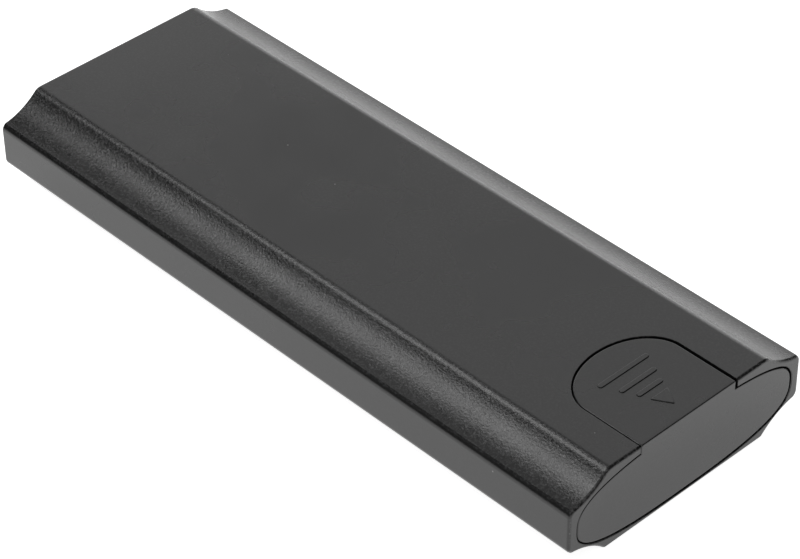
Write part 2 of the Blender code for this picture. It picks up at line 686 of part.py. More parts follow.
def return_strip(look):
    """The flat conductor on the floor that brings the door's last contact back to the board."""
    floor = FLOOR_WALL + GAP
    thick = CONTACT_THICKNESS
    front = DOOR_CONTACT_X - GAP - thick
    board = BOARD_HEIGHT - GAP - thick
    bend = BULKHEAD_BACK - 2 * MM
    end = bend - 5 * MM
    top = STRIP_TOP
    upper = [(end, board + thick), (bend - MM, board + thick), (bend + thick, floor + thick),
             (front, floor + thick), (front, top)]
    lower = [(front + thick, top), (front + thick, floor), (bend, floor), (bend - MM - thick, board),
             (end, board)]
    half = STRIP_WIDTH / 2
    place = (0, STRIP_Y, floor)
    return add("return_strip", shifted(along_y([*upper, *lower], STRIP_Y - half, STRIP_Y + half), place),
               look, place)


# ------------------------------------------------------------------ output board
def output_board(looks):
    place = ((BOARD_REAR + BOARD_FRONT) / 2, 0, BOARD_HEIGHT)
    half = BOARD_WIDTH / 2
    add("circuit_board",
        shifted(box((BOARD_REAR, -half, BOARD_HEIGHT), (BOARD_FRONT, half, BOARD_TOP)), place),
        looks["board"], place)
    jack(looks)
    slide_switch(looks)
    indicator(looks)
    parts_on_board(looks)
    negative_lead(looks["black_lead"])


def jack(looks):
    """The output socket: a square shell with a round mouth and a centre pin."""
    mouth = REAR_INSIDE + GAP
    z = PART_FLOOR + JACK_HEIGHT / 2
    end = mouth + JACK_LENGTH
    place = (mouth, JACK_Y, z)
    shape = box((mouth, JACK_Y - JACK_WIDTH / 2, PART_FLOOR),
                (end, JACK_Y + JACK_WIDTH / 2, PART_FLOOR + JACK_HEIGHT))
    shell = add("output_jack", shifted(shape, place), looks["moulding"], place)
    cut(shell, "cut_jack_mouth",
        turned_x([(mouth - MM, JACK_HOLE_RADIUS), (end - 2.5 * MM, JACK_HOLE_RADIUS)], 24, (JACK_Y, z)))
    cut(shell, "cut_jack_pin_hole",
        turned_x([(end - 4 * MM, JACK_PIN_RADIUS + GAP), (end + MM, JACK_PIN_RADIUS + GAP)], 16,
                 (JACK_Y, z)))
    pin = [(mouth + 2.0 * MM, 0.6 * JACK_PIN_RADIUS), (mouth + 2.5 * MM, JACK_PIN_RADIUS),
           (end + 0.8 * MM, JACK_PIN_RADIUS)]
    add("output_jack_pin", shifted(turned_x(pin, 16, (JACK_Y, z)), place), looks["contact"], place)


SWITCH_LENGTH = 9.0 * MM
SWITCH_DEPTH = 4.2 * MM
SWITCH_HEIGHT = 4.4 * MM
KNOB_WIDTH = 2.6 * MM
KNOB_HEIGHT = 1.8 * MM
KNOB_SUNK = 0.2 * MM
SWITCH_SLOT = KNOB_WIDTH + SWITCH_TRAVEL + 2 * GAP


def slide_switch(looks):
    """A board-edge slide switch; its knob reaches out through a slot in the rear cover."""
    front = REAR_INSIDE + 2 * GAP
    z = PART_FLOOR + SWITCH_HEIGHT / 2
    place = (front, SWITCH_Y, z)
    shape = box((front, SWITCH_Y - SWITCH_LENGTH / 2, PART_FLOOR),
                (front + SWITCH_DEPTH, SWITCH_Y + SWITCH_LENGTH / 2, PART_FLOOR + SWITCH_HEIGHT))
    body = add("switch_body", shifted(shape, place), looks["steel"], place)
    slot = SWITCH_SLOT / 2
    cut(body, "cut_switch_slot",
        box((front - MM, SWITCH_Y - slot, z - KNOB_HEIGHT / 2 - GAP),
            (front + 2 * MM, SWITCH_Y + slot, z + KNOB_HEIGHT / 2 + GAP)))
    start = SWITCH_Y - SWITCH_TRAVEL / 2
    axis = bpy.data.objects.new("switch_slide_axis", None)
    bpy.context.scene.collection.objects.link(axis)
    axis.location = (front, start, z)
    low = (REAR_END + KNOB_SUNK, start - KNOB_WIDTH / 2, z - KNOB_HEIGHT / 2)
    high = (front + 1.5 * MM, start + KNOB_WIDTH / 2, z + KNOB_HEIGHT / 2)
    knob = add("switch_knob", shifted(box(low, high), axis.location), looks["knob"],
               axis.location, parent=axis)
    round_over = knob.modifiers.new("eased_edges", "BEVEL")
    round_over.width = 0.25 * MM
    round_over.segments = 1
    round_over.limit_method = "ANGLE"


def indicator(looks):
    """A round indicator whose dome shows in the rear cover."""
    z = PART_FLOOR + LED_RADIUS + 2.0 * MM
    x = REAR_INSIDE - PLATE_THICKNESS / 2
    profile = [(x - 0.6 * MM, 0.5 * LED_RADIUS), (x - 0.2 * MM, 0.85 * LED_RADIUS),
               (x + 0.4 * MM, LED_RADIUS), (x + 4.0 * MM, LED_RADIUS)]
    place = (x, LED_Y, z)
    add("indicator_lamp", shifted(turned_x(profile, 20, (LED_Y, z)), place), looks["lamp"], place)


def parts_on_board(looks):
    """The larger parts of the output circuit."""
    bay_mid = (BOARD_REAR + BOARD_FRONT) / 2
    z = PART_FLOOR
    coil = (bay_mid + 3 * MM, 11.5 * MM)
    half = 3.5 * MM
    nip = MM
    outline = [(-half, -half + nip), (-half + nip, -half), (half - nip, -half), (half, -half + nip),
               (half, half - nip), (half - nip, half), (-half + nip, half), (-half, half - nip)]
    shape = along_z([(coil[0] + x, coil[1] + y) for x, y in outline], z, z + 4.0 * MM)
    add("power_inductor", shifted(shape, (*coil, z)), looks["ferrite"], (*coil, z))
    for name, centre in (("filter_capacitor_1", (bay_mid + 11 * MM, -13.2 * MM)),
                         ("filter_capacitor_2", (bay_mid + 11 * MM, -6.2 * MM))):
        can = turned_z([(z, 2.9 * MM), (z + 0.8 * MM, 3.15 * MM), (z + 6.4 * MM, 3.15 * MM),
                        (z + 7.0 * MM, 2.7 * MM)], 20, centre)
        add(name, shifted(can, (*centre, z)), looks["can"], (*centre, z))
    blocks = (("controller_chip", (bay_mid + 10 * MM, 1.0 * MM), (5.0, 4.0, 1.5), "chip"),
              ("rectifier_diode", (bay_mid + 3.5 * MM, 1.5 * MM), (5.2, 2.8, 2.2), "chip"),
              ("resettable_fuse", (bay_mid + 11.0 * MM, 14.5 * MM), (3.0, 7.4, 5.0), "fuse"))
    for name, (x, y), (lx, ly, lz), look in blocks:
        low = (x - lx * MM / 2, y - ly * MM / 2, z)
        high = (x + lx * MM / 2, y + ly * MM / 2, z + lz * MM)
        add(name, shifted(box(low, high), (x, y, z)), looks[look], (x, y, z))


def negative_lead(look):
    """An insulated lead from the back of the single contact, through the bulkhead, to the board."""
    radius = 0.65 * MM
    z = PART_FLOOR + radius
    x = BULKHEAD_BACK
    far = -(PITCH + 1.0 * MM)
    route = [(BULKHEAD_FRONT, -PITCH, BAY_Z), (x + 1.0 * MM, -PITCH, BAY_Z),
             (x - 1.0 * MM, -PITCH - 0.1 * MM, BAY_Z + 0.2 * MM),
             (x - 3.2 * MM, far, BAY_Z + 0.9 * MM), (x - 5.5 * MM, far - 1.8 * MM, BAY_Z + 0.6 * MM),
             (x - 9 * MM, far - 2.8 * MM, z + 0.6 * MM), (x - 14 * MM, far - 2.3 * MM, z + 0.1 * MM),
             (x - 18 * MM, far - 1.5 * MM, z)]
    add("negative_lead", rod(smooth_path(route, 5), radius, 8), look)


# ------------------------------------------------------------------ rear cover
def rear_cover(looks):
    place = (REAR_END, 0, RIM_Z)
    body = add("rear_cover", shifted(along_x(rim_outline(SEAM), REAR_END, REAR_INSIDE), place),
               looks["case"], place)
    jack_z = PART_FLOOR + JACK_HEIGHT / 2
    past = MM
    cut(body, "cut_jack_opening",
        turned_x([(REAR_END - past, JACK_HOLE_RADIUS + GAP), (REAR_INSIDE + past, JACK_HOLE_RADIUS + GAP)],
                 24, (JACK_Y, jack_z)))
    cut(body, "cut_lamp_opening",
        turned_x([(REAR_END - past, LED_RADIUS + GAP), (REAR_INSIDE + past, LED_RADIUS + GAP)], 20,
                 (LED_Y, PART_FLOOR + LED_RADIUS + 2.0 * MM)))
    slot, z = SWITCH_SLOT / 2, PART_FLOOR + SWITCH_HEIGHT / 2
    cut(body, "cut_switch_opening",
        box((REAR_END - past, SWITCH_Y - slot, z - KNOB_HEIGHT / 2 - GAP),
            (REAR_INSIDE + past, SWITCH_Y + slot, z + KNOB_HEIGHT / 2 + GAP)))
    sunk = REAR_END + SCREW_HEAD_HEIGHT + 2 * GAP
    for side in (-1, 1):
        centre = (side * BOSS_Y, BAY_Z)
        cut(body, f"cut_head_{side}",
            turned_x([(REAR_END - past, SCREW_HEAD_RADIUS + GAP), (sunk, SCREW_HEAD_RADIUS + GAP)],
                     20, centre))
        cut(body, f"cut_shank_{side}",
            turned_x([(sunk - past, SCREW_RADIUS + GAP), (REAR_INSIDE + past, SCREW_RADIUS + GAP)], 16,
                     centre))
    return body


def screws(look):
    """Two pan-head screws that hold the rear cover."""
    head = [(0.0, 0.75 * SCREW_HEAD_RADIUS), (0.3 * SCREW_HEAD_HEIGHT, SCREW_HEAD_RADIUS),
            (SCREW_HEAD_HEIGHT, SCREW_HEAD_RADIUS), (SCREW_HEAD_HEIGHT, SCREW_RADIUS),
            (SCREW_HEAD_HEIGHT + SCREW_LENGTH - MM, SCREW_RADIUS),
            (SCREW_HEAD_HEIGHT + SCREW_LENGTH, 0.4 * SCREW_RADIUS)]
    for side, name in ((-1, "cover_screw_left"), (1, "cover_screw_right")):
        place = Vector((REAR_END + GAP, side * BOSS_Y, BAY_Z))
        screw = add(name, turned_x(head, 20), look, place)
        arm, reach = 0.3 * MM, 0.65 * SCREW_HEAD_RADIUS
        for k, (y, z) in enumerate(((arm, reach), (reach, arm))):
            low = place + Vector((-MM, -y, -z))
            high = place + Vector((0.6 * SCREW_HEAD_HEIGHT, y, z))
            cut(screw, f"{name}_slot_{k}", box(low, high))


# ------------------------------------------------------------------ assembly
def slide_axis(name, place):
    axis = bpy.data.objects.new(name, None)
    bpy.context.scene.collection.objects.link(axis)
    axis.location = place
    return axis


def build():
    for obj in list(bpy.data.objects):
        bpy.data.objects.remove(obj)
    looks = {
        "case": material("black_case", (0.055, 0.055, 0.056), 0.45),
        "moulding": material("dark_moulding", (0.03, 0.03, 0.032), 0.55),
        "guide": material("natural_moulding", (0.42, 0.42, 0.4), 0.6),
        "contact": material("nickel_contact", (0.72, 0.7, 0.66), 0.3, 1.0),
        "spring": material("spring_steel", (0.62, 0.62, 0.62), 0.28, 1.0),
        "cell": material("cell_wrap", (0.1, 0.22, 0.14), 0.35),
        "board": material("board_green", (0.03, 0.16, 0.07), 0.4),
        "steel": material("tinned_steel", (0.6, 0.6, 0.6), 0.35, 1.0),
        "knob": material("switch_black", (0.02, 0.02, 0.02), 0.5),
        "lamp": material("green_lens", (0.1, 0.55, 0.15), 0.2),
        "ferrite": material("ferrite_grey", (0.09, 0.09, 0.1), 0.7),
        "can": material("capacitor_can", (0.5, 0.5, 0.55), 0.3, 1.0),
        "chip": material("chip_black", (0.02, 0.02, 0.022), 0.5),
        "fuse": material("fuse_yellow", (0.75, 0.5, 0.08), 0.5),
        "black_lead": material("black_lead", (0.015, 0.015, 0.015), 0.45),
        "screw": material("black_screw", (0.12, 0.12, 0.12), 0.35, 1.0),
    }
    sleeve(looks["case"])
    rear_cover(looks)
    screws(looks["screw"])
    spring = spring_mesh()
    bulkhead(looks["guide"])
    rear_contacts(looks, spring)
    return_strip(looks["contact"])
    side_guide("side_guide_left", -1, looks["guide"])
    side_guide("side_guide_right", 1, looks["guide"])
    output_board(looks)
    door_axis = slide_axis("door_slide_axis", (DOOR_END, 0, RIM_Z))
    door_cover(looks["case"], door_axis)
    door_inside(looks, spring, door_axis)
    cells(looks["cell"], slide_axis("cell_slide_axis", (DOOR_CONTACT_X, 0, BAY_Z)))


build()
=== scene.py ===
"""Looks of the slim battery pack: a coved black sleeve with a pull-off door, its cells and its rear fittings.

Frame: metres, +X towards the door, +Y across, +Z up. The pack lies on z = 0.
"""

import math

import bmesh
import bpy
from mathutils import Matrix, Vector


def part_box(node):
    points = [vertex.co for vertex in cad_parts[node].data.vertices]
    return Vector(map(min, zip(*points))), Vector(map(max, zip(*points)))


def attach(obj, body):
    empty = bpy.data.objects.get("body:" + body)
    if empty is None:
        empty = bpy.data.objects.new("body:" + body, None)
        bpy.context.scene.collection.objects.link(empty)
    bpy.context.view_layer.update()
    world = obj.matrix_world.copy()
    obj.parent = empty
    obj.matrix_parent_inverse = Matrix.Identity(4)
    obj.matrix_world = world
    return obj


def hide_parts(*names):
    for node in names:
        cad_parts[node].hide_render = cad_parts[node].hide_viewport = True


MM = 0.001

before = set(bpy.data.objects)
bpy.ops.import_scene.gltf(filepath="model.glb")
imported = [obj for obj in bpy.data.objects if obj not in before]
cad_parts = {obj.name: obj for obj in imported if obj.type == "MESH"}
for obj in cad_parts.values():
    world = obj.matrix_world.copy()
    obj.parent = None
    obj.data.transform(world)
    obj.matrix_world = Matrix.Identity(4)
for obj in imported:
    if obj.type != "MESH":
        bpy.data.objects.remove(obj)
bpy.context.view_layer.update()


def middle(node):
    low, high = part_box(node)
    return (Vector(low) + Vector(high)) / 2


# ------------------------------------------------------------------ sizes from the frame
SLEEVE_LOW, SLEEVE_HIGH = (Vector(corner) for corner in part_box("housing_sleeve"))
REAR_LOW, REAR_HIGH = (Vector(corner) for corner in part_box("rear_cover"))
WIDTH = SLEEVE_HIGH.y - SLEEVE_LOW.y
THICKNESS = SLEEVE_HIGH.z
DOOR_END = SLEEVE_HIGH.x
REAR_END = SLEEVE_LOW.x
PLATE_THICKNESS = REAR_HIGH.x - REAR_LOW.x
BAY_Z = middle("cell_1").z
PITCH = middle("cell_5").y
CELL_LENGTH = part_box("cell_1")[1][0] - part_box("cell_1")[0][0]
CELL_RADIUS = (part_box("cell_1")[1][1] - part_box("cell_1")[0][1]) / 2

# ------------------------------------------------------------------ sizes of the fine surfaces
FLOOR_WALL = 1.7 * MM
ROOF_WALL = 2.0 * MM
SIDE_WALL = 3.7 * MM
COVE_WALL = 1.5 * MM
COVE_WIDTH = 9.3 * MM
COVE_DEPTH = 4.55 * MM
COVE_RADIUS = 15.1 * MM
TOP_SHOULDER = 2.6 * MM
BOTTOM_SHOULDER = 0.9 * MM
SIDE_CORNER = 1.6 * MM
END_EDGE = 0.6 * MM
RIM_SIDE = 2.0 * MM
RIM_FLOOR = 0.8 * MM
RIM_ROOF = 1.4 * MM
RIM_EXPONENT = 2.75
BAY_STEP = 0.1 * MM
SEAM = 0.35 * MM
DOOR_SIDE_PLAY = 0.19 * MM
PLATE_SEAM = 0.28 * MM
PLATE_LIFT = 0.1 * MM
TONGUE_WIDTH = 24.4 * MM
TONGUE_STRAIGHT = 13.4 * MM
TONGUE_ARCH = 8.85 * MM
TONGUE_THICKNESS = 1.25 * MM
ARROW_HEIGHT = 0.15 * MM
ARROW_BAR_WIDTH = 1.15 * MM
ARROW_BARS = ((15.65 * MM, 12.8 * MM), (12.15 * MM, 9.3 * MM), (9.35 * MM, 6.4 * MM))
ARROW_HEAD_BASE = 7.2 * MM
ARROW_HEAD_TIP = 3.4 * MM
ARROW_HEAD_WIDTH = 4.6 * MM
TAB_LENGTH = 15.0 * MM
TAB_THICKNESS = 1.7 * MM
GAP = 0.3 * MM
BOSS_RADIUS = 2.7 * MM
BOSS_LENGTH = 11 * MM
BOSS_WEB = 1.6 * MM
SCREW_HOLE = 1.3 * MM
SCREW_WELL = 2.2 * MM
SCREW_WELL_DEPTH = 1.7 * MM
JACK_MOUTH = 3.45 * MM
LAMP_MOUTH = 1.8 * MM
SWITCH_TRAVEL = 2.5 * MM
MOUTH_LIP = 0.15 * MM

BAY_HALF_WIDTH = WIDTH / 2 - SIDE_WALL
TAB_OUTSIDE = BAY_HALF_WIDTH - 1.1 * MM
DOOR_INSIDE = DOOR_END - PLATE_THICKNESS
REAR_INSIDE = REAR_END + PLATE_THICKNESS
RIM_HALF_WIDTH = WIDTH / 2 - RIM_SIDE
RIM_HALF_HEIGHT = (THICKNESS - RIM_FLOOR - RIM_ROOF) / 2
RIM_Z = RIM_FLOOR + RIM_HALF_HEIGHT
RECESS = PLATE_THICKNESS + GAP
PAST = 2 * MM
PLATE_EDGE = 0.3 * MM
# The plates' rounded edge: depth from the outer face, and how far the outline is moved in there.
PLATE_EDGE_CURVE = ((0.0, PLATE_EDGE), (0.04 * MM, 0.14 * MM), (0.13 * MM, 0.05 * MM), (PLATE_EDGE, 0.0))


# ------------------------------------------------------------------ mesh helpers
def loft(rings, bm=None):
    """A closed solid through rings of points, each ring with as many points as the first."""
    bm = bm or bmesh.new()
    rows = [[bm.verts.new(p) for p in ring] for ring in rings]
    count = len(rows[0])
    for a, b in zip(rows, rows[1:]):
        for i in range(count):
            j = (i + 1) % count
            bm.faces.new((a[i], a[j], b[j], b[i]))
    bm.faces.new(rows[0])
    bm.faces.new(rows[-1])
    return bm


def along_x(outline, steps, bm=None):
    """A solid along X: outline(inset) gives (y, z) points, steps gives (x, inset)."""
    return loft([[(x, y, z) for y, z in outline(inset)] for x, inset in steps], bm)


def along_z(outline, steps, bm=None):
    """A solid along Z: outline(inset) gives (x, y) points, steps gives (z, inset)."""
    return loft([[(x, y, z) for x, y in outline(inset)] for z, inset in steps], bm)


def box(low, high, bm=None):
    (x0, y0, z0), (x1, y1, z1) = low, high
    return loft([[(x, y0, z0), (x, y1, z0), (x, y1, z1), (x, y0, z1)] for x in (x0, x1)], bm)


def turned_x(profile, segments, centre, bm=None):
    """A solid turned about an X axis through centre (y, z), from (x, radius) points."""
    angles = [2 * math.pi * i / segments for i in range(segments)]
    return loft([[(x, centre[0] + r * math.cos(a), centre[1] + r * math.sin(a)) for a in angles]
                 for x, r in profile], bm)


def rod(path, radius, sides):
    """A round bar that follows a path of points."""
    points = [Vector(p) for p in path]
    rings = []
    side = Vector((0, 0, 1))
    for i, point in enumerate(points):
        ahead = (points[min(i + 1, len(points) - 1)] - points[max(i - 1, 0)]).normalized()
        side = (side - side.dot(ahead) * ahead).normalized()
        other = ahead.cross(side)
        rings.append([point + radius * (math.cos(2 * math.pi * k / sides) * side
                                        + math.sin(2 * math.pi * k / sides) * other)
                      for k in range(sides)])
    return loft(rings)


def piece(name, bm, look, body, *nodes, slot=None):
    """A shown piece: rides on a body and stands for the given CAD nodes."""
    obj = helper(name, bm)
    finish_mesh(obj, look)
    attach(obj, body)
    if nodes:
        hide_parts(*nodes)
    return obj


def helper(name, bm):
    bmesh.ops.recalc_face_normals(bm, faces=bm.faces)
    mesh = bpy.data.meshes.new(name)
    bm.to_mesh(mesh)
    bm.free()
    obj = bpy.data.objects.new(name, mesh)
    bpy.context.scene.collection.objects.link(obj)
    return obj


def finish_mesh(obj, look, angle=32):
    if look and not obj.data.materials:
        obj.data.materials.append(look)
    obj.data.shade_smooth()
    obj.data.set_sharp_from_angle(angle=math.radians(angle))
    weigh = obj.modifiers.new("even_shading", "WEIGHTED_NORMAL")
    weigh.keep_sharp = True
    weigh.weight = 80


def carve(obj, tools):
    """Booleans in turn, made part of the mesh: (bmesh, "UNION" or "DIFFERENCE") pairs."""
    for bm, operation in tools:
        other = helper("tool", bm)
        step = obj.modifiers.new("carve", "BOOLEAN")
        step.operation = operation
        step.object = other
        graph = bpy.context.evaluated_depsgraph_get()
        made = bpy.data.meshes.new_from_object(obj.evaluated_get(graph))
        obj.modifiers.clear()
        old, obj.data = obj.data, made
        bpy.data.meshes.remove(old)
        tool_mesh = other.data
        bpy.data.objects.remove(other)
        bpy.data.meshes.remove(tool_mesh)


def rounding(start, end, radius, steps=5):
    """(place, inset) steps for a solid with rounded ends."""
    turn = [math.pi / 2 * k / steps for k in range(steps + 1)]
    far = [(end - radius + radius * math.sin(a), radius * (1 - math.cos(a))) for a in turn]
    near = [(start + end - place, inset) for place, inset in reversed(far)]
    return [*near, *far]


def plate_steps(face, inside):
    """(x, inset) steps of an end plate, from its rounded outer face to its inner face."""
    inward = math.copysign(1, inside - face)
    return [*[(face + inward * depth, inset) for depth, inset in PLATE_EDGE_CURVE], (inside, 0)]


# ------------------------------------------------------------------ outlines
def arc(centre, radius, start, end, steps):
    return [(centre[0] + radius * math.cos(start + (end - start) * i / steps),
             centre[1] + radius * math.sin(start + (end - start) * i / steps))
            for i in range(steps + 1)]


def superellipse(half_width, half_height, exponent, centre_z, count=160):
    outline = []
    for i in range(count):
        t = 2 * math.pi * i / count
        c, s = math.cos(t), math.sin(t)
        outline.append((half_width * math.copysign(abs(c) ** (2 / exponent), c),
                        centre_z + half_height * math.copysign(abs(s) ** (2 / exponent), s)))
    return outline


def rim_outline(inset=0.0):
    return superellipse(RIM_HALF_WIDTH - inset, RIM_HALF_HEIGHT - inset, RIM_EXPONENT, RIM_Z)


def cove_centre():
    """The centre of the lower cove's arc at +Y: outside the body, below and beyond it."""
    edge = Vector((WIDTH / 2 - COVE_WIDTH, 0.0))
    wall = Vector((WIDTH / 2, COVE_DEPTH))
    chord = wall - edge
    away = Vector((chord.y, -chord.x)).normalized()
    return (edge + wall) / 2 + away * math.sqrt(COVE_RADIUS ** 2 - chord.length_squared / 4)


def quarter_outline(shoulder, inset):
    """From the flat face to the side wall at +Y: shoulder, cove and corner, moved in by inset."""
    centre = cove_centre()
    reach = COVE_RADIUS + shoulder
    first = Vector((centre.x - math.sqrt(reach ** 2 - (shoulder - centre.y) ** 2), shoulder))
    wall = WIDTH / 2 - SIDE_CORNER
    reach = COVE_RADIUS + SIDE_CORNER
    last = Vector((wall, centre.y + math.sqrt(reach ** 2 - (wall - centre.x) ** 2)))
    angle_first = math.atan2(first.y - centre.y, first.x - centre.x)
    angle_last = math.atan2(last.y - centre.y, last.x - centre.x)
    # The corner to the side wall starts at a crease, then rounds over the last 45 degrees.
    crease = (angle_last - math.pi - math.pi / 4) / 2
    peak = (SIDE_CORNER - inset) / math.cos(-math.pi / 4 - crease)
    return [*arc(first, shoulder - inset, -math.pi / 2, angle_first - math.pi, 9),
            *arc(centre, COVE_RADIUS + inset, angle_first, angle_last, 26)[1:-1],
            (last.x + peak * math.cos(crease), last.y + peak * math.sin(crease)),
            *arc(last, SIDE_CORNER - inset, -math.pi / 4, 0.0, 6)]


def mirrored(low, high):
    right = [*low, *[(y, THICKNESS - z) for y, z in reversed(high)]]
    return [*right, *[(-y, z) for y, z in reversed(right)]]


def outside_outline(inset=0.0):
    return mirrored(quarter_outline(BOTTOM_SHOULDER, inset), quarter_outline(TOP_SHOULDER, inset))


def bay_quarter(wall, rim, inset):
    """From the floor to the side wall at +Y: kept inside the rim and off the cove's wall."""
    centre = cove_centre()
    reach = COVE_RADIUS + COVE_WALL + inset
    start, end = 0.45 * BAY_HALF_WIDTH, BAY_HALF_WIDTH - inset
    steps = 40
    points = []
    for i in range(steps + 1):
        y = start + (end - start) * i / steps
        cove = centre.y + math.sqrt(max(0.0, reach ** 2 - (y - centre.x) ** 2))
        share = (1 - (y / RIM_HALF_WIDTH) ** RIM_EXPONENT) ** (1 / RIM_EXPONENT)
        edge = rim + RIM_HALF_HEIGHT * (1 - share) + BAY_STEP
        points.append((y, max(wall + inset, cove, edge + inset)))
    return points


def bay_outline(inset=0.0):
    return mirrored(bay_quarter(FLOOR_WALL, RIM_FLOOR, inset), bay_quarter(ROOF_WALL, RIM_ROOF, inset))


def tongue_outline(grow=0.0, end=DOOR_END, shift=0.0):
    """The thumb tongue from above: straight sides to the door end and an elliptical arch."""
    start = DOOR_END - TONGUE_STRAIGHT
    half = TONGUE_WIDTH / 2 + grow
    steps = 56
    curve = [(start - (TONGUE_ARCH + grow) * math.sin(math.pi * i / steps),
              shift + half * math.cos(math.pi * i / steps)) for i in range(steps + 1)]
    return [(end, shift + half), *curve, (end, shift - half)]


# ------------------------------------------------------------------ materials
GRAIN_SIZE = 0.2 * MM
GRAIN_DEPTH = 0.075 * MM
# Size and grey of the painted glints: pale speckles that stand in for the grain's sparkle under light.
GLINT_SPECKLE_SIZE = 0.24 * MM
PAINTED_GLINT_GREY = 0.075
DUST_SPACING = 2.6 * MM
DUST_SHARE = 0.02
DUST_COLOUR = (0.24, 0.24, 0.235)
BLACK_BASE = 0.005
BLACK_ROUGH = 0.27


class Look:
    """A procedural material under construction: short names for the nodes used here."""

    def __init__(self, name, rough, metal=0.0, specular=0.5):
        self.material = bpy.data.materials.new(name)
        self.material.use_nodes = True
        self.tree = self.material.node_tree
        self.shader = self.tree.nodes["Principled BSDF"]
        self.shader.inputs["Roughness"].default_value = rough
        self.shader.inputs["Metallic"].default_value = metal
        self.shader.inputs["Specular IOR Level"].default_value = specular
        self.coords = self.tree.nodes.new("ShaderNodeTexCoord")
        self.height = None

    def node(self, kind, inputs=(), **settings):
        made = self.tree.nodes.new("ShaderNode" + kind)
        for key, value in settings.items():
            setattr(made, key, value)
        for key, value in dict(inputs).items():
            if isinstance(value, bpy.types.NodeSocket):
                self.tree.links.new(value, made.inputs[key])
            else:
                made.inputs[key].default_value = value
        return made

    def link(self, out, socket):
        self.tree.links.new(out, self.shader.inputs[socket])

    def noise(self, size, detail=2.0, rough=0.5, stretch=(1, 1, 1)):
        """Noise with features about size across, in metres."""
        mapping = self.node("Mapping", {"Vector": self.coords.outputs["Object"], "Scale": stretch})
        found = self.node("TexNoise", {"Vector": mapping.outputs[0], "Scale": 0.5 / size, "Detail": detail,
                                       "Roughness": rough})
        return found.outputs["Fac"]

    def ramp(self, value, low, high, start=0.35, end=0.65):
        made = self.node("MapRange", {"Value": value, "From Min": start, "From Max": end,
                                      "To Min": low, "To Max": high})
        return made.outputs[0]

    def math(self, operation, a, b=0.0):
        return self.node("Math", {0: a, 1: b}, operation=operation).outputs[0]

    def blend(self, factor, first, second):
        mix = self.node("Mix", {0: factor, 6: first, 7: second}, data_type="RGBA")
        return mix.outputs[2]

    def facing(self, axis, start, end):
        """1 where the surface faces along an axis (0, 1 or 2), 0 where it doesn't."""
        parts = self.node("SeparateXYZ", {0: self.coords.outputs["Normal"]})
        amount = self.math("ABSOLUTE", parts.outputs[axis])
        return self.ramp(amount, 0.0, 1.0, start, end)

    def bump(self, height, depth, strength=1.0):
        inputs = {"Height": height, "Distance": depth, "Strength": strength}
        if self.height is not None:
            inputs["Normal"] = self.height
        self.height = self.node("Bump", inputs).outputs[0]
        self.link(self.height, "Normal")

    def colour(self, dark, light, factor):
        self.link(self.blend(factor, (*dark, 1), (*light, 1)), "Base Color")


def grey(value):
    return (value, value, value * 1.01)


def specks(look, size, share):
    """A scatter of tiny round dots, about size apart, kept in a share of the cells."""
    cells = look.node("TexVoronoi", {"Vector": look.coords.outputs["Object"], "Scale": 1 / size})
    near = look.ramp(cells.outputs["Distance"], 1.0, 0.0, 0.03, 0.075)
    chosen = look.node("SeparateColor", {0: cells.outputs["Color"]})
    kept = look.math("LESS_THAN", chosen.outputs[0], share)
    return look.math("MULTIPLY", near, kept)


def moulded_black(name, base, rough, grain, zones=True):
    """Black moulding with a fine spark-eroded grain, uneven gloss, pale speckles that are painted glints of
    the grain, and a few specks of dust.

    With zones, the grain and its painted glints are full in the coves and fade on the side walls, the ends
    and the flats.
    """
    look = Look(name, rough, specular=0.56)
    fine = look.noise(GRAIN_SIZE, 2.5, 0.65)
    soft = look.noise(1.6 * MM, 2.0, 0.5)
    broad = look.noise(14 * MM, 3.0, 0.55)
    strength = grain
    if zones:
        side = look.facing(1, 0.68, 0.75)
        end = look.facing(0, 0.9, 0.99)
        flat = look.facing(2, 0.965, 0.999)
        calm = look.math("MAXIMUM", side, end)
        strength = look.math("MULTIPLY", look.ramp(calm, 1.0, 0.06, 0, 1), grain)
        strength = look.math("MULTIPLY", strength, look.ramp(flat, 1.0, 0.16, 0, 1))
    bump = look.node("Bump", {"Height": fine, "Distance": GRAIN_DEPTH, "Strength": strength})
    look.height = bump.outputs[0]
    look.bump(soft, 0.01 * MM, 0.15)
    look.link(look.ramp(broad, rough - 0.025, rough + 0.035), "Roughness")
    shade = look.blend(look.ramp(fine, 0.0, 1.0), (*grey(base * 0.86), 1), (*grey(base * 1.16), 1))
    shade = look.blend(look.ramp(broad, 0.0, 0.25), shade, (*grey(base * 1.25), 1))
    # Pale speckles, zoned like the grain: painted glints, the grain's sparkle in grazing light put into the
    # colour.
    pale = look.ramp(look.noise(GLINT_SPECKLE_SIZE, 2.0, 0.6), 0.0, 1.0, 0.48, 0.68)
    shade = look.blend(look.math("MULTIPLY", pale, strength), shade, (*grey(PAINTED_GLINT_GREY), 1))
    dusty = look.blend(specks(look, DUST_SPACING, DUST_SHARE), shade, (*DUST_COLOUR, 1))
    look.link(dusty, "Base Color")
    return look.material


def plain_moulding(name, base, rough):
    """Light or dark engineering plastic with faint flow marks and a sheen that varies."""
    look = Look(name, rough)
    flow = look.noise(3 * MM, 3.0, 0.6, (0.3, 1, 1))
    fine = look.noise(0.25 * MM, 2.0)
    look.colour([c * 0.88 for c in base], [min(1, c * 1.1) for c in base], look.ramp(flow, 0, 1))
    look.link(look.ramp(flow, rough - 0.05, rough + 0.07), "Roughness")
    look.bump(fine, 0.02 * MM, 0.4)
    return look.material


def worked_metal(name, base, rough, stretch):
    """Plated or drawn metal with fine marks along the way it was worked."""
    look = Look(name, rough, 1.0)
    marks = look.noise(0.35 * MM, 3.0, 0.6, stretch)
    cloud = look.noise(4 * MM, 2.0)
    look.colour([c * 0.82 for c in base], base, look.ramp(marks, 0, 1))
    look.link(look.math("ADD", look.ramp(marks, rough * 0.75, rough * 1.3), look.ramp(cloud, -0.03, 0.05)),
              "Roughness")
    look.bump(marks, 0.01 * MM, 0.5)
    return look.material


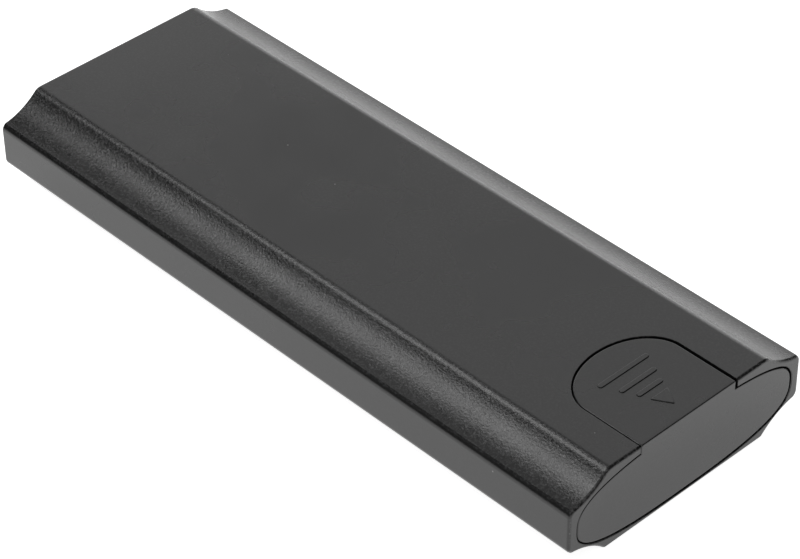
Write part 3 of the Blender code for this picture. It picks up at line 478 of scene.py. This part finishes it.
def lens(name, base):
    """A tinted clear lens with faint mottling."""
    look = Look(name, 0.12)
    look.shader.inputs["Transmission Weight"].default_value = 0.35
    mottle = look.noise(0.6 * MM, 2.0)
    look.colour([c * 0.8 for c in base], base, look.ramp(mottle, 0, 1))
    return look.material


def solder_mask(name, base):
    """Green lacquer over faint copper paths that run along and across the board."""
    look = Look(name, 0.3)
    along = look.noise(1.1 * MM, 0.0, 0.5, (0.06, 1, 1))
    across = look.noise(1.3 * MM, 0.0, 0.5, (1, 0.06, 1))
    paths = look.ramp(look.math("MAXIMUM", along, across), 0.0, 1.0, 0.55, 0.57)
    look.colour(base, [c * 1.7 for c in base], paths)
    look.bump(paths, 0.03 * MM, 0.6)
    return look.material


LOOKS = {
    "case": moulded_black("sleeve_black", BLACK_BASE, BLACK_ROUGH, 0.85),
    "door": moulded_black("door_black", BLACK_BASE, BLACK_ROUGH, 0.09, zones=False),
    "dark": plain_moulding("dark_moulding", (0.03, 0.03, 0.032), 0.5),
    "guide": plain_moulding("natural_moulding", (0.42, 0.42, 0.4), 0.5),
    "contact": worked_metal("nickel", (0.72, 0.7, 0.66), 0.28, (1, 0.15, 1)),
    "spring": worked_metal("spring_steel", (0.66, 0.66, 0.66), 0.24, (1, 1, 1)),
    "steel": worked_metal("tinned_steel", (0.62, 0.62, 0.62), 0.33, (1, 0.2, 1)),
    "can": worked_metal("cell_can", (0.66, 0.65, 0.63), 0.25, (0.2, 1, 1)),
    "screw": worked_metal("blackened_screw", (0.09, 0.09, 0.092), 0.36, (1, 1, 1)),
    "capacitor": worked_metal("capacitor_can", (0.55, 0.55, 0.58), 0.3, (1, 1, 0.2)),
    "wrap": plain_moulding("cell_wrap", (0.035, 0.11, 0.07), 0.3),
    "band": plain_moulding("cell_band", (0.42, 0.17, 0.06), 0.3),
    "board": solder_mask("board_green", (0.02, 0.1, 0.045)),
    "knob": plain_moulding("switch_black", (0.018, 0.018, 0.018), 0.42),
    "lamp": lens("green_lens", (0.12, 0.5, 0.17)),
    "ferrite": plain_moulding("ferrite_grey", (0.075, 0.075, 0.08), 0.62),
    "chip": plain_moulding("chip_black", (0.018, 0.018, 0.02), 0.5),
    "fuse": plain_moulding("fuse_yellow", (0.62, 0.4, 0.06), 0.45),
    "lead": plain_moulding("black_lead", (0.014, 0.014, 0.014), 0.4),
}


# ------------------------------------------------------------------ sleeve
def sleeve_inside():
    """Latch grooves, floor ribs, board ledges, and the bosses for the rear screws."""
    tools = []
    spring_low, spring_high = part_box("latch_spring_right")
    half = (spring_high[2] - spring_low[2]) / 2 + 2 * GAP
    groove_x = spring_low[0] + 2.2 * MM
    groove_half = 1.8 * MM
    strip_low, strip_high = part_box("return_strip")
    board_low, board_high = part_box("circuit_board")
    ribs = (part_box("contact_bulkhead")[1][0] + GAP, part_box("door_bridge_contact")[0][0] - 1.5 * MM)
    rib_half = 0.4 * MM
    rib_top = FLOOR_WALL + 1.7 * MM
    ledge_half = 0.8 * MM
    web_half = BOSS_WEB / 2
    root = FLOOR_WALL / 2
    for side in (-1, 1):
        groove = sorted((side * (BAY_HALF_WIDTH + MM), side * (BAY_HALF_WIDTH - PAST)))
        tools.append((box((groove_x - groove_half, groove[0], BAY_Z - half),
                          (groove_x + groove_half, groove[1], BAY_Z + half)), "DIFFERENCE"))
        for edge in (-1, 1):
            y = side * middle("return_strip").y + edge * ((strip_high[1] - strip_low[1]) / 2 + 0.75 * MM)
            tools.append((box((ribs[0], y - rib_half, root), (ribs[1], y + rib_half, rib_top)), "UNION"))
        ledge = side * (board_high[1] - 2.5 * MM)
        tools.append((box((board_low[0] + MM, ledge - ledge_half, root),
                          (board_high[0] - MM, ledge + ledge_half, board_low[2] - GAP)), "UNION"))
        boss = (side * abs(middle("cover_screw_right").y), BAY_Z)
        start, end = REAR_INSIDE + GAP, REAR_INSIDE + GAP + BOSS_LENGTH
        tools.append((turned_x([(start, BOSS_RADIUS - 0.1 * MM), (start + 0.1 * MM, BOSS_RADIUS),
                                (end, BOSS_RADIUS)], 40, boss), "UNION"))
        outer = sorted((boss[0], side * (BAY_HALF_WIDTH + MM)))
        tools.append((box((start + 0.1 * MM, outer[0], BAY_Z - web_half),
                          (end - 0.1 * MM, outer[1], BAY_Z + web_half)), "UNION"))
        tools.append((turned_x([(start - MM, SCREW_HOLE), (end - MM, SCREW_HOLE)], 32, boss),
                      "DIFFERENCE"))
    return tools


def sleeve():
    obj = helper("sleeve_shell", along_x(outside_outline, rounding(REAR_END, DOOR_END, END_EDGE)))
    lip = MOUTH_LIP

    def opened(inset):
        return rim_outline(-inset)

    def notch(inset):
        return tongue_outline(SEAM + inset, DOOR_END + PAST)

    door_mouth = [(DOOR_END - RECESS, 0), (DOOR_END - lip, 0), (DOOR_END, lip), (DOOR_END + PAST, lip)]
    rear_mouth = [(REAR_END - PAST, lip), (REAR_END, lip), (REAR_END + lip, 0), (REAR_END + RECESS, 0)]
    notch_rise = [(BAY_Z, 0), (THICKNESS - lip, 0), (THICKNESS - lip / 3, lip / 3), (THICKNESS, lip),
                  (THICKNESS + PAST, lip)]
    carve(obj, [
        (along_x(bay_outline, [(REAR_END - PAST, 0), (DOOR_END + PAST, 0)]), "DIFFERENCE"),
        (along_x(opened, door_mouth), "DIFFERENCE"),
        (along_x(opened, rear_mouth), "DIFFERENCE"),
        (along_z(notch, notch_rise), "DIFFERENCE"),
        *sleeve_inside()])
    finish_mesh(obj, LOOKS["case"])
    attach(obj, "housing")
    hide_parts("housing_sleeve")


# ------------------------------------------------------------------ door
def plate_outline(inset):
    """The end plate: the rim's outline less the seam, raised to the tongue's top across its width."""
    half = TONGUE_WIDTH / 2 - inset
    shoulder_x = TONGUE_WIDTH / 2
    wide, high = RIM_HALF_WIDTH - PLATE_SEAM, RIM_HALF_HEIGHT - PLATE_SEAM
    reach = 1 - (shoulder_x / wide) ** RIM_EXPONENT
    shoulder = RIM_Z + high * reach ** (1 / RIM_EXPONENT) + PLATE_LIFT - inset
    base = rim_outline(PLATE_SEAM)
    ring = [(y, z + PLATE_LIFT) for y, z in rim_outline(PLATE_SEAM + inset)]
    kept = [i for i, (y, z) in enumerate(base) if not (abs(y) <= shoulder_x + 0.2 * MM and z > RIM_Z)]
    # The ring breaks off after this many points, and the tongue's end comes in there.
    first = next(k for k, i in enumerate(kept) if k + 1 < len(kept) and kept[k + 1] != i + 1) + 1
    top = THICKNESS - inset
    right = arc((half - PLATE_EDGE, top - PLATE_EDGE), PLATE_EDGE, 0, math.pi / 2, 4)
    left = [(-y, z) for y, z in reversed(right)]
    points = [ring[i] for i in kept]
    found = [*points[:first], (half, shoulder), *right, *left, (-half, shoulder), *points[first:]]
    return [(y - DOOR_SIDE_PLAY, z) for y, z in found]


def bar_outline(x, length, inset):
    radius = ARROW_BAR_WIDTH / 2 - inset
    centre = length / 2 - ARROW_BAR_WIDTH / 2
    return [(px, py - DOOR_SIDE_PLAY) for px, py in [
        *arc((x, centre), radius, 0.0, math.pi, 10), *arc((x, -centre), radius, math.pi, 2 * math.pi, 10)]]


def head_outline(inset):
    """The triangle, its corners cut a little."""
    base, tip = DOOR_END - ARROW_HEAD_BASE, DOOR_END - ARROW_HEAD_TIP
    third = (tip - base) / 3
    centre = Vector((base + third, -DOOR_SIDE_PLAY))
    share = 1 - inset / third
    half = ARROW_HEAD_WIDTH / 2
    corner_cut = 0.18 * MM
    corners = [Vector((base, -half)), Vector((tip, 0.0)), Vector((base, half))]
    corners = [centre + (c - Vector((base + third, 0.0))) * share for c in corners]
    points = []
    for i, corner in enumerate(corners):
        for other in (corners[i - 1], corners[(i + 1) % 3]):
            points.append(corner + (other - corner).normalized() * corner_cut)
    return points


def door():
    obj = helper("door_shell", along_x(plate_outline, plate_steps(DOOR_END, DOOR_INSIDE)[::-1]))
    embed = 0.9 * MM

    def tongue(inset):
        return tongue_outline(-inset, DOOR_INSIDE + embed, -DOOR_SIDE_PLAY)

    turn = [math.pi / 8 * k for k in range(5)]
    corner = [(PLATE_EDGE * (1 - math.cos(a)), PLATE_EDGE * (1 - math.sin(a))) for a in turn]
    rise = [(THICKNESS - TONGUE_THICKNESS, 0), *[(THICKNESS - down, inset) for inset, down in corner]]
    tools = [(along_z(tongue, rise), "UNION")]
    play = 0.35 * MM
    neck = TONGUE_WIDTH / 2 - play
    wing_top = THICKNESS - ROOF_WALL - play
    rail_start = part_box("door_bridge_contact")[0][0]
    tools.append((box((rail_start, -neck, wing_top - MM),
                      (DOOR_INSIDE + embed, neck, THICKNESS - TONGUE_THICKNESS + embed / 2)), "UNION"))
    tools.append((box((rail_start + 0.1 * MM, -neck - PAST, wing_top - 0.9 * MM),
                      (DOOR_INSIDE + embed - 0.1 * MM, neck + PAST, wing_top)), "UNION"))
    reach = BAY_Z - bay_quarter(FLOOR_WALL, RIM_FLOOR, 0.0)[-1][1] - 2 * GAP
    for side in (-1, 1):
        inner, outer = sorted((side * (TAB_OUTSIDE - TAB_THICKNESS), side * TAB_OUTSIDE))

        def tab(inset, inner=inner, outer=outer):
            return [(inner + inset, BAY_Z - reach + inset), (outer - inset, BAY_Z - reach + inset),
                    (outer - inset, BAY_Z + reach - inset), (inner + inset, BAY_Z + reach - inset)]

        tools.append((along_x(tab, [(DOOR_INSIDE - TAB_LENGTH, 0.4 * MM), (DOOR_INSIDE - TAB_LENGTH + MM, 0),
                                    (DOOR_INSIDE + embed, 0)]), "UNION"))
    over = [(THICKNESS + ARROW_HEIGHT * math.sin(a), ARROW_HEIGHT * (1 - math.cos(a))) for a in turn]
    rise = [(THICKNESS - TONGUE_THICKNESS / 2, 0), *over]
    for back, length in ARROW_BARS:
        def bar(inset, back=back, length=length):
            return bar_outline(DOOR_END - back, length, inset)

        tools.append((along_z(bar, rise), "UNION"))
    tools.append((along_z(head_outline, rise), "UNION"))
    carve(obj, tools)
    finish_mesh(obj, LOOKS["door"], 28)
    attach(obj, "door")
    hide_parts("door_cover")


# ------------------------------------------------------------------ rear end
def rear_plate():
    """The fixed end plate with the mouths of the socket, the lamp and the switch, and two screw wells."""
    def plate(inset):
        return rim_outline(SEAM + inset)

    def mouth(radius, centre):
        ease = 0.25 * MM
        return turned_x([(REAR_END - MM, radius + ease), (REAR_END, radius + ease),
                         (REAR_END + 0.4 * ease, radius + 0.3 * ease), (REAR_END + ease, radius),
                         (REAR_INSIDE + MM, radius)], 64, centre)

    jack = middle("output_jack")
    lamp = middle("indicator_lamp")
    knob_low, knob_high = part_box("switch_knob")
    tools = [(mouth(JACK_MOUTH, (jack.y, jack.z)), "DIFFERENCE"),
             (mouth(LAMP_MOUTH, (lamp.y, lamp.z)), "DIFFERENCE"),
             (box((REAR_END - MM, knob_low[1] - GAP, knob_low[2] - GAP),
                  (REAR_INSIDE + MM, knob_high[1] + SWITCH_TRAVEL + GAP, knob_high[2] + GAP)), "DIFFERENCE")]
    sunk = REAR_END + SCREW_WELL_DEPTH
    for node in ("cover_screw_left", "cover_screw_right"):
        centre = (middle(node).y, BAY_Z)
        tools.append((turned_x([(REAR_END - MM, SCREW_WELL + 0.1 * MM), (REAR_END, SCREW_WELL + 0.1 * MM),
                                (REAR_END + MOUTH_LIP, SCREW_WELL), (sunk, SCREW_WELL)], 56, centre),
                      "DIFFERENCE"))
        tools.append((turned_x([(sunk - MM, SCREW_HOLE), (REAR_INSIDE + MM, SCREW_HOLE)], 40, centre),
                      "DIFFERENCE"))
    obj = helper("rear_plate", along_x(plate, plate_steps(REAR_END, REAR_INSIDE)))
    carve(obj, tools)
    finish_mesh(obj, LOOKS["door"], 28)
    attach(obj, "housing")
    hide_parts("rear_cover")


def screws():
    """Pan heads with a cross recess on plain shanks."""
    head, height, shank = 1.9 * MM, 1.1 * MM, 1.0 * MM
    for node in ("cover_screw_left", "cover_screw_right"):
        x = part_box(node)[0][0]
        y = middle(node).y
        dome = [(x + 0.5 * height * (1 - math.sin(t)), head * (0.62 + 0.38 * math.cos(t)))
                for t in (math.pi / 2 * k / 6 for k in range(6, -1, -1))]
        end = x + height + 9 * MM
        profile = [*dome, (x + height, head), (x + height, shank), (end - MM, shank), (end, 0.4 * shank)]
        obj = helper(node + "_fine", turned_x(profile, 48, (y, BAY_Z)))
        tools = []
        for arm_y, arm_z in ((0.28, 1.2), (1.2, 0.28)):
            tools.append((loft([[(x + depth, y + a * arm_y * share * MM, BAY_Z + b * arm_z * share * MM)
                                 for a, b in ((-1, -1), (1, -1), (1, 1), (-1, 1))]
                                for depth, share in ((-0.2 * MM, 1.05), (0.65 * MM, 0.75))]), "DIFFERENCE"))
        carve(obj, tools)
        finish_mesh(obj, LOOKS["screw"])
        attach(obj, "housing")
        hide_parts(node)


def jack_pin():
    low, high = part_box("output_jack_pin")
    centre = middle("output_jack_pin")
    radius = (high[1] - low[1]) / 2
    tip = [(low[0] + radius * (1 - math.cos(t)) * 0.6, max(0.08 * MM, radius * math.sin(t)))
           for t in (math.pi / 2 * k / 6 for k in range(7))]
    piece("output_jack_pin_fine", turned_x([*tip, (high[0], radius)], 32, (centre.y, centre.z)),
          LOOKS["contact"], "housing", "output_jack_pin", slot="nickel_contact")


def lamp():
    low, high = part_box("indicator_lamp")
    centre = middle("indicator_lamp")
    radius = (high[1] - low[1]) / 2
    dome = [(low[0] + MM * (1 - math.cos(t)), max(0.1 * MM, radius * math.sin(t)))
            for t in (math.pi / 2 * k / 9 for k in range(10))]
    rim = high[0] - 1.2 * MM
    profile = [*dome, (rim, radius), (rim + 0.05 * MM, radius - 0.06 * MM), (high[0], radius - 0.06 * MM)]
    piece("indicator_lamp_fine", turned_x(profile, 44, (centre.y, centre.z)), LOOKS["lamp"], "housing",
          "indicator_lamp", slot="green_lens")


def knob():
    """The slide's knob, its outer face cut into four ridges."""
    low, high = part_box("switch_knob")
    edge = 0.2 * MM
    teeth = 4
    pitch = (high[1] - low[1]) / teeth
    flank = 0.1 * MM
    chamfer = 0.12 * MM
    depth = 0.28 * MM

    def comb(inset):
        points = [(high[0] - inset, low[1] + inset), (high[0] - inset, high[1] - inset)]
        face = low[0] + inset
        for k in range(teeth):
            top = high[1] - k * pitch
            outer = top - (inset if k == 0 else flank)
            inner = low[1] + inset if k == teeth - 1 else top - pitch + flank
            points += [(face + chamfer, outer), (face, outer - flank),
                       (face, inner + flank), (face + chamfer, inner)]
            if k < teeth - 1:
                points += [(face + depth, inner - 0.04 * MM), (face + depth, inner - 0.16 * MM)]
        return points

    piece("switch_knob_fine", along_z(comb, rounding(low[2], high[2], edge, 3)), LOOKS["knob"], "switch",
          "switch_knob", slot="switch_black")


# ------------------------------------------------------------------ cells and springs
SPRING_PLACES = {"rear_spring_left": -PITCH, "rear_spring_right": PITCH, "door_spring": 0.0}


def from_end(node, flip):
    """Turns (distance, radius) points into (x, radius), from the node's low end or its high end."""
    low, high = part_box(node)
    return lambda profile: [(high[0] - d if flip else low[0] + d, r) for d, r in profile]


def cells():
    """Each cell: wrapped can in two colours, flat base, and a stepped nub inside its seal."""
    r, length, nub = CELL_RADIUS, CELL_LENGTH, 2.75 * MM
    seat = length - 1.0 * MM
    split = 0.72 * length
    wrap = [(0.3 * MM, r - 1.35 * MM), (0.1 * MM, r - 1.05 * MM), (0.03 * MM, r - 0.7 * MM),
            (0.13 * MM, r - 0.25 * MM), (0.3 * MM, r - 0.06 * MM), (0.55 * MM, r), (split, r)]
    band = [(split, r - 0.5 * MM), (split, r), (seat - 0.6 * MM, r), (seat - 0.3 * MM, r - 0.07 * MM),
            (seat - 0.1 * MM, r - 0.3 * MM), (seat, r - 0.7 * MM), (seat - 0.05 * MM, r - 1.05 * MM),
            (seat - 0.3 * MM, r - 1.4 * MM)]
    base = [(0, r - 2.2 * MM), (0.05 * MM, r - 1.7 * MM), (0.2 * MM, r - 1.36 * MM), (0.7 * MM, r - 1.3 * MM)]
    tip = [(seat - MM, r - 1.35 * MM), (seat - 0.32 * MM, r - 1.4 * MM), (seat - 0.36 * MM, nub + 0.5 * MM),
           (seat - 0.3 * MM, nub + 0.2 * MM), (seat - 0.05 * MM, nub + 0.02 * MM),
           (length - 0.3 * MM, nub), (length - 0.1 * MM, nub - 0.08 * MM), (length, nub - 0.35 * MM)]
    for number in range(1, 7):
        node = f"cell_{number}"
        centre = middle(node)
        turn = from_end(node, abs(centre.y) < PITCH / 2)
        for part, profile, look in (("wrap", wrap, "wrap"), ("band", band, "band"), ("base", base, "can"),
                                    ("tip", tip, "can")):
            piece(f"{node}_{part}", turned_x(turn(profile), 64, (centre.y, centre.z)), LOOKS[look], "cells",
                  node, slot="cell_wrap")


def springs():
    """Conical coils, their wide turns against the contacts."""
    turns, wire, wide, narrow = 3.5, 0.8 * MM, 4.4 * MM, 2.6 * MM
    steps = int(turns * 44)
    for node, body, way in (("rear_spring_left", "housing", 1), ("rear_spring_right", "housing", 1),
                            ("door_spring", "door", -1)):
        low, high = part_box(node)
        rise = high[0] - low[0] - wire
        foot = low[0] if way > 0 else high[0]
        path = []
        for i in range(steps + 1):
            t = i / steps
            eased = min(1.0, max(0.0, (t * turns - 0.6) / (turns - 1.2)))
            radius = wide + (narrow - wide) * t
            angle = 2 * math.pi * turns * t
            path.append((foot + way * (wire / 2 + rise * eased),
                         SPRING_PLACES[node] + way * radius * math.cos(angle),
                         BAY_Z + radius * math.sin(angle)))
        piece(node + "_fine", rod(path, wire / 2, 12), LOOKS["spring"], body, node, slot="spring_steel")


# ------------------------------------------------------------------ parts on the board
def capacitors():
    """Aluminium cans with a rolled groove above the base and a crossed vent mark on top."""
    for node in ("filter_capacitor_1", "filter_capacitor_2"):
        low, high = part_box(node)
        centre = middle(node)
        r = (high[1] - low[1]) / 2
        z = low[2]
        profile = [(z, r - 0.2 * MM), (z + 0.15 * MM, r), (z + 0.8 * MM, r), (z + 1.0 * MM, r - 0.2 * MM),
                   (z + 1.25 * MM, r - 0.2 * MM), (z + 1.45 * MM, r), (high[2] - 0.5 * MM, r),
                   (high[2] - 0.15 * MM, r - 0.13 * MM), (high[2], r - 0.5 * MM)]
        angles = [2 * math.pi * i / 48 for i in range(48)]
        obj = helper(node + "_fine", loft([[(centre.x + q * math.cos(a), centre.y + q * math.sin(a), height)
                                            for a in angles] for height, q in profile]))
        arm, reach = 0.12 * MM, 0.6 * r
        carve(obj, [(box((centre.x - a, centre.y - b, high[2] - 0.12 * MM),
                         (centre.x + a, centre.y + b, high[2] + MM)), "DIFFERENCE")
                    for a, b in ((arm, reach), (reach, arm))])
        finish_mesh(obj, LOOKS["capacitor"])
        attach(obj, "housing")
        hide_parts(node)


def legs():
    """Tinned gull-wing legs down both sides of the chip and at the ends of the diode."""
    for node, pairs, width in (("controller_chip", 4, 0.4 * MM), ("rectifier_diode", 1, 1.6 * MM)):
        low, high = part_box(node)
        along = 0 if pairs > 1 else 1
        span = high[along] - low[along]
        bm = bmesh.new()
        for k in range(pairs):
            place = low[along] + span * (k + 0.5) / pairs
            for side in (-1, 1):
                across = 1 - along
                edge = (high if side > 0 else low)[across]
                line = [(edge - side * 0.2 * MM, 0.75), (edge + side * 0.3 * MM, 0.75),
                        (edge + side * 0.45 * MM, 0.65), (edge + side * 0.55 * MM, 0.15),
                        (edge + side * 1.0 * MM, 0.1)]
                upper = [(u, low[2] + h * MM) for u, h in line]
                lower = [(u - side * 0.06 * MM, h - 0.14 * MM) for u, h in upper]
                loop = [*upper, *reversed(lower)]
                rings = []
                for offset in (-width / 2, width / 2):
                    ring = []
                    for u, h in loop:
                        point = [0, 0, max(h, low[2] - 0.15 * MM)]
                        point[along], point[across] = place + offset, u
                        ring.append(point)
                    rings.append(ring)
                loft(rings, bm)
        piece(node + "_legs", bm, LOOKS["steel"], "housing")


def lead():
    """The insulated lead from the single contact to the board."""
    radius = 0.65 * MM
    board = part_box("circuit_board")[1][2] + GAP + radius
    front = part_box("contact_bulkhead")[1][0]
    x = front - 3.0 * MM
    far = -(PITCH + MM)
    route = [(front, -PITCH, BAY_Z), (x + MM, -PITCH, BAY_Z), (x - MM, -PITCH - 0.1 * MM, BAY_Z + 0.2 * MM),
             (x - 3.2 * MM, far, BAY_Z + 0.9 * MM), (x - 5.5 * MM, far - 1.8 * MM, BAY_Z + 0.6 * MM),
             (x - 9 * MM, far - 2.8 * MM, board + 0.6 * MM), (x - 14 * MM, far - 2.3 * MM, board + 0.1 * MM),
             (x - 18 * MM, far - 1.5 * MM, board)]
    points = [Vector(p) for p in route]
    path = []
    for i in range(len(points) - 1):
        p0, p1 = points[max(i - 1, 0)], points[i]
        p2, p3 = points[i + 1], points[min(i + 2, len(points) - 1)]
        for k in range(12):
            t = k / 12
            path.append(0.5 * (2 * p1 + (p2 - p0) * t + (2 * p0 - 5 * p1 + 4 * p2 - p3) * t ** 2
                               + (3 * p1 - p0 - 3 * p2 + p3) * t ** 3))
    path.append(points[-1])
    piece("negative_lead_fine", rod(path, radius, 16), LOOKS["lead"], "housing", "negative_lead",
          slot="black_lead")


# ------------------------------------------------------------------ finishes of the carried-over nodes
# Each node's look, and the width of its eased edges in millimetres.
NODE_LOOKS = {
    "contact_bulkhead": ("guide", 0.2),
    "side_guide_left": ("guide", 0.15), "side_guide_right": ("guide", 0.15),
    "contact_retainer": ("dark", 0.2), "output_jack": ("dark", 0.25),
    "circuit_board": ("board", 0.08), "return_strip": ("contact", 0.08),
    "rear_single_contact": ("contact", 0.08), "rear_bridge_contact": ("contact", 0.08),
    "door_bridge_contact": ("contact", 0.08), "door_single_contact": ("contact", 0.08),
    "latch_spring_left": ("spring", 0.06), "latch_spring_right": ("spring", 0.06),
    "switch_body": ("steel", 0.15), "power_inductor": ("ferrite", 0.3),
    "controller_chip": ("chip", 0.12), "rectifier_diode": ("chip", 0.15),
    "resettable_fuse": ("fuse", 0.5),
}


def carried_over():
    for node, (look, ease) in NODE_LOOKS.items():
        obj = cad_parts[node]
        obj.data.materials.clear()
        obj.data.materials.append(LOOKS[look])
        soften = obj.modifiers.new("eased_edges", "BEVEL")
        soften.width = ease * MM
        soften.segments = 3
        soften.limit_method = "ANGLE"
        soften.angle_limit = math.radians(40)
        soften.harden_normals = True


# ------------------------------------------------------------------ stage, lights and camera
CAMERA_PLACE = Vector((0.32576, -0.30167, 0.36358))
CAMERA_AIM = Vector((0.00777, -0.00248, 0.0090))
CAMERA_ROLL = -0.65
CAMERA_LENS = 134.43
SENSOR_WIDTH = 36
WORLD_GLOW = 0.07
FLOOR_GLOW = 0.9


def camera():
    data = bpy.data.cameras.new("camera")
    data.lens = CAMERA_LENS
    data.sensor_width = SENSOR_WIDTH
    data.clip_end = 20
    obj = bpy.data.objects.new("camera", data)
    bpy.context.scene.collection.objects.link(obj)
    turn = (CAMERA_AIM - CAMERA_PLACE).to_track_quat("-Z", "Y").to_matrix().to_4x4()
    obj.matrix_world = (Matrix.Translation(CAMERA_PLACE) @ turn
                        @ Matrix.Rotation(math.radians(CAMERA_ROLL), 4, "Z"))
    bpy.context.scene.camera = obj


def soft_box(name, azimuth, elevation, distance, size, radiance):
    """A softbox seen from the pack at an azimuth from +X and an elevation, facing the pack."""
    a, e = math.radians(azimuth), math.radians(elevation)
    place = distance * Vector((math.cos(e) * math.cos(a), math.cos(e) * math.sin(a), math.sin(e)))
    data = bpy.data.lights.new(name, "AREA")
    data.shape = "RECTANGLE"
    data.size, data.size_y = size
    data.energy = radiance * math.pi * size[0] * size[1]
    obj = bpy.data.objects.new(name, data)
    bpy.context.scene.collection.objects.link(obj)
    obj.location = place
    obj.rotation_euler = (-place).to_track_quat("-Z", "Y").to_euler()


def stage():
    scene = bpy.context.scene
    scene.view_settings.view_transform = "Standard"
    world = bpy.data.worlds.new("studio")
    world.use_nodes = True
    world.node_tree.nodes["Background"].inputs["Color"].default_value = (1, 1, 1, 1)
    world.node_tree.nodes["Background"].inputs["Strength"].default_value = WORLD_GLOW
    scene.world = world
    look = Look("pale_floor", 0.6, specular=0.2)
    look.colour((0.86, 0.86, 0.86), (0.9, 0.9, 0.9), look.ramp(look.noise(0.08), 0, 1))
    look.shader.inputs["Emission Color"].default_value = (1, 1, 1, 1)
    look.shader.inputs["Emission Strength"].default_value = FLOOR_GLOW
    bm = bmesh.new()
    bmesh.ops.create_grid(bm, x_segments=4, y_segments=4, size=4.0)
    floor = helper("floor", bm)
    floor.location.z = -0.02 * MM
    floor.data.materials.append(look.material)
    soft_box("back_low", 135, 17, 1.4, (2.0, 0.8), 1.5)
    soft_box("back_high", 135, 48, 1.3, (1.0, 0.46), 1.08)
    soft_box("overhead", 217, 57, 1.0, (0.44, 0.44), 4.9)
    soft_box("fill", -48, 60, 1.3, (1.0, 1.0), 0.9)


camera()
stage()
sleeve()
door()
rear_plate()
screws()
jack_pin()
lamp()
knob()
cells()
springs()
capacitors()
legs()
lead()
carried_over()
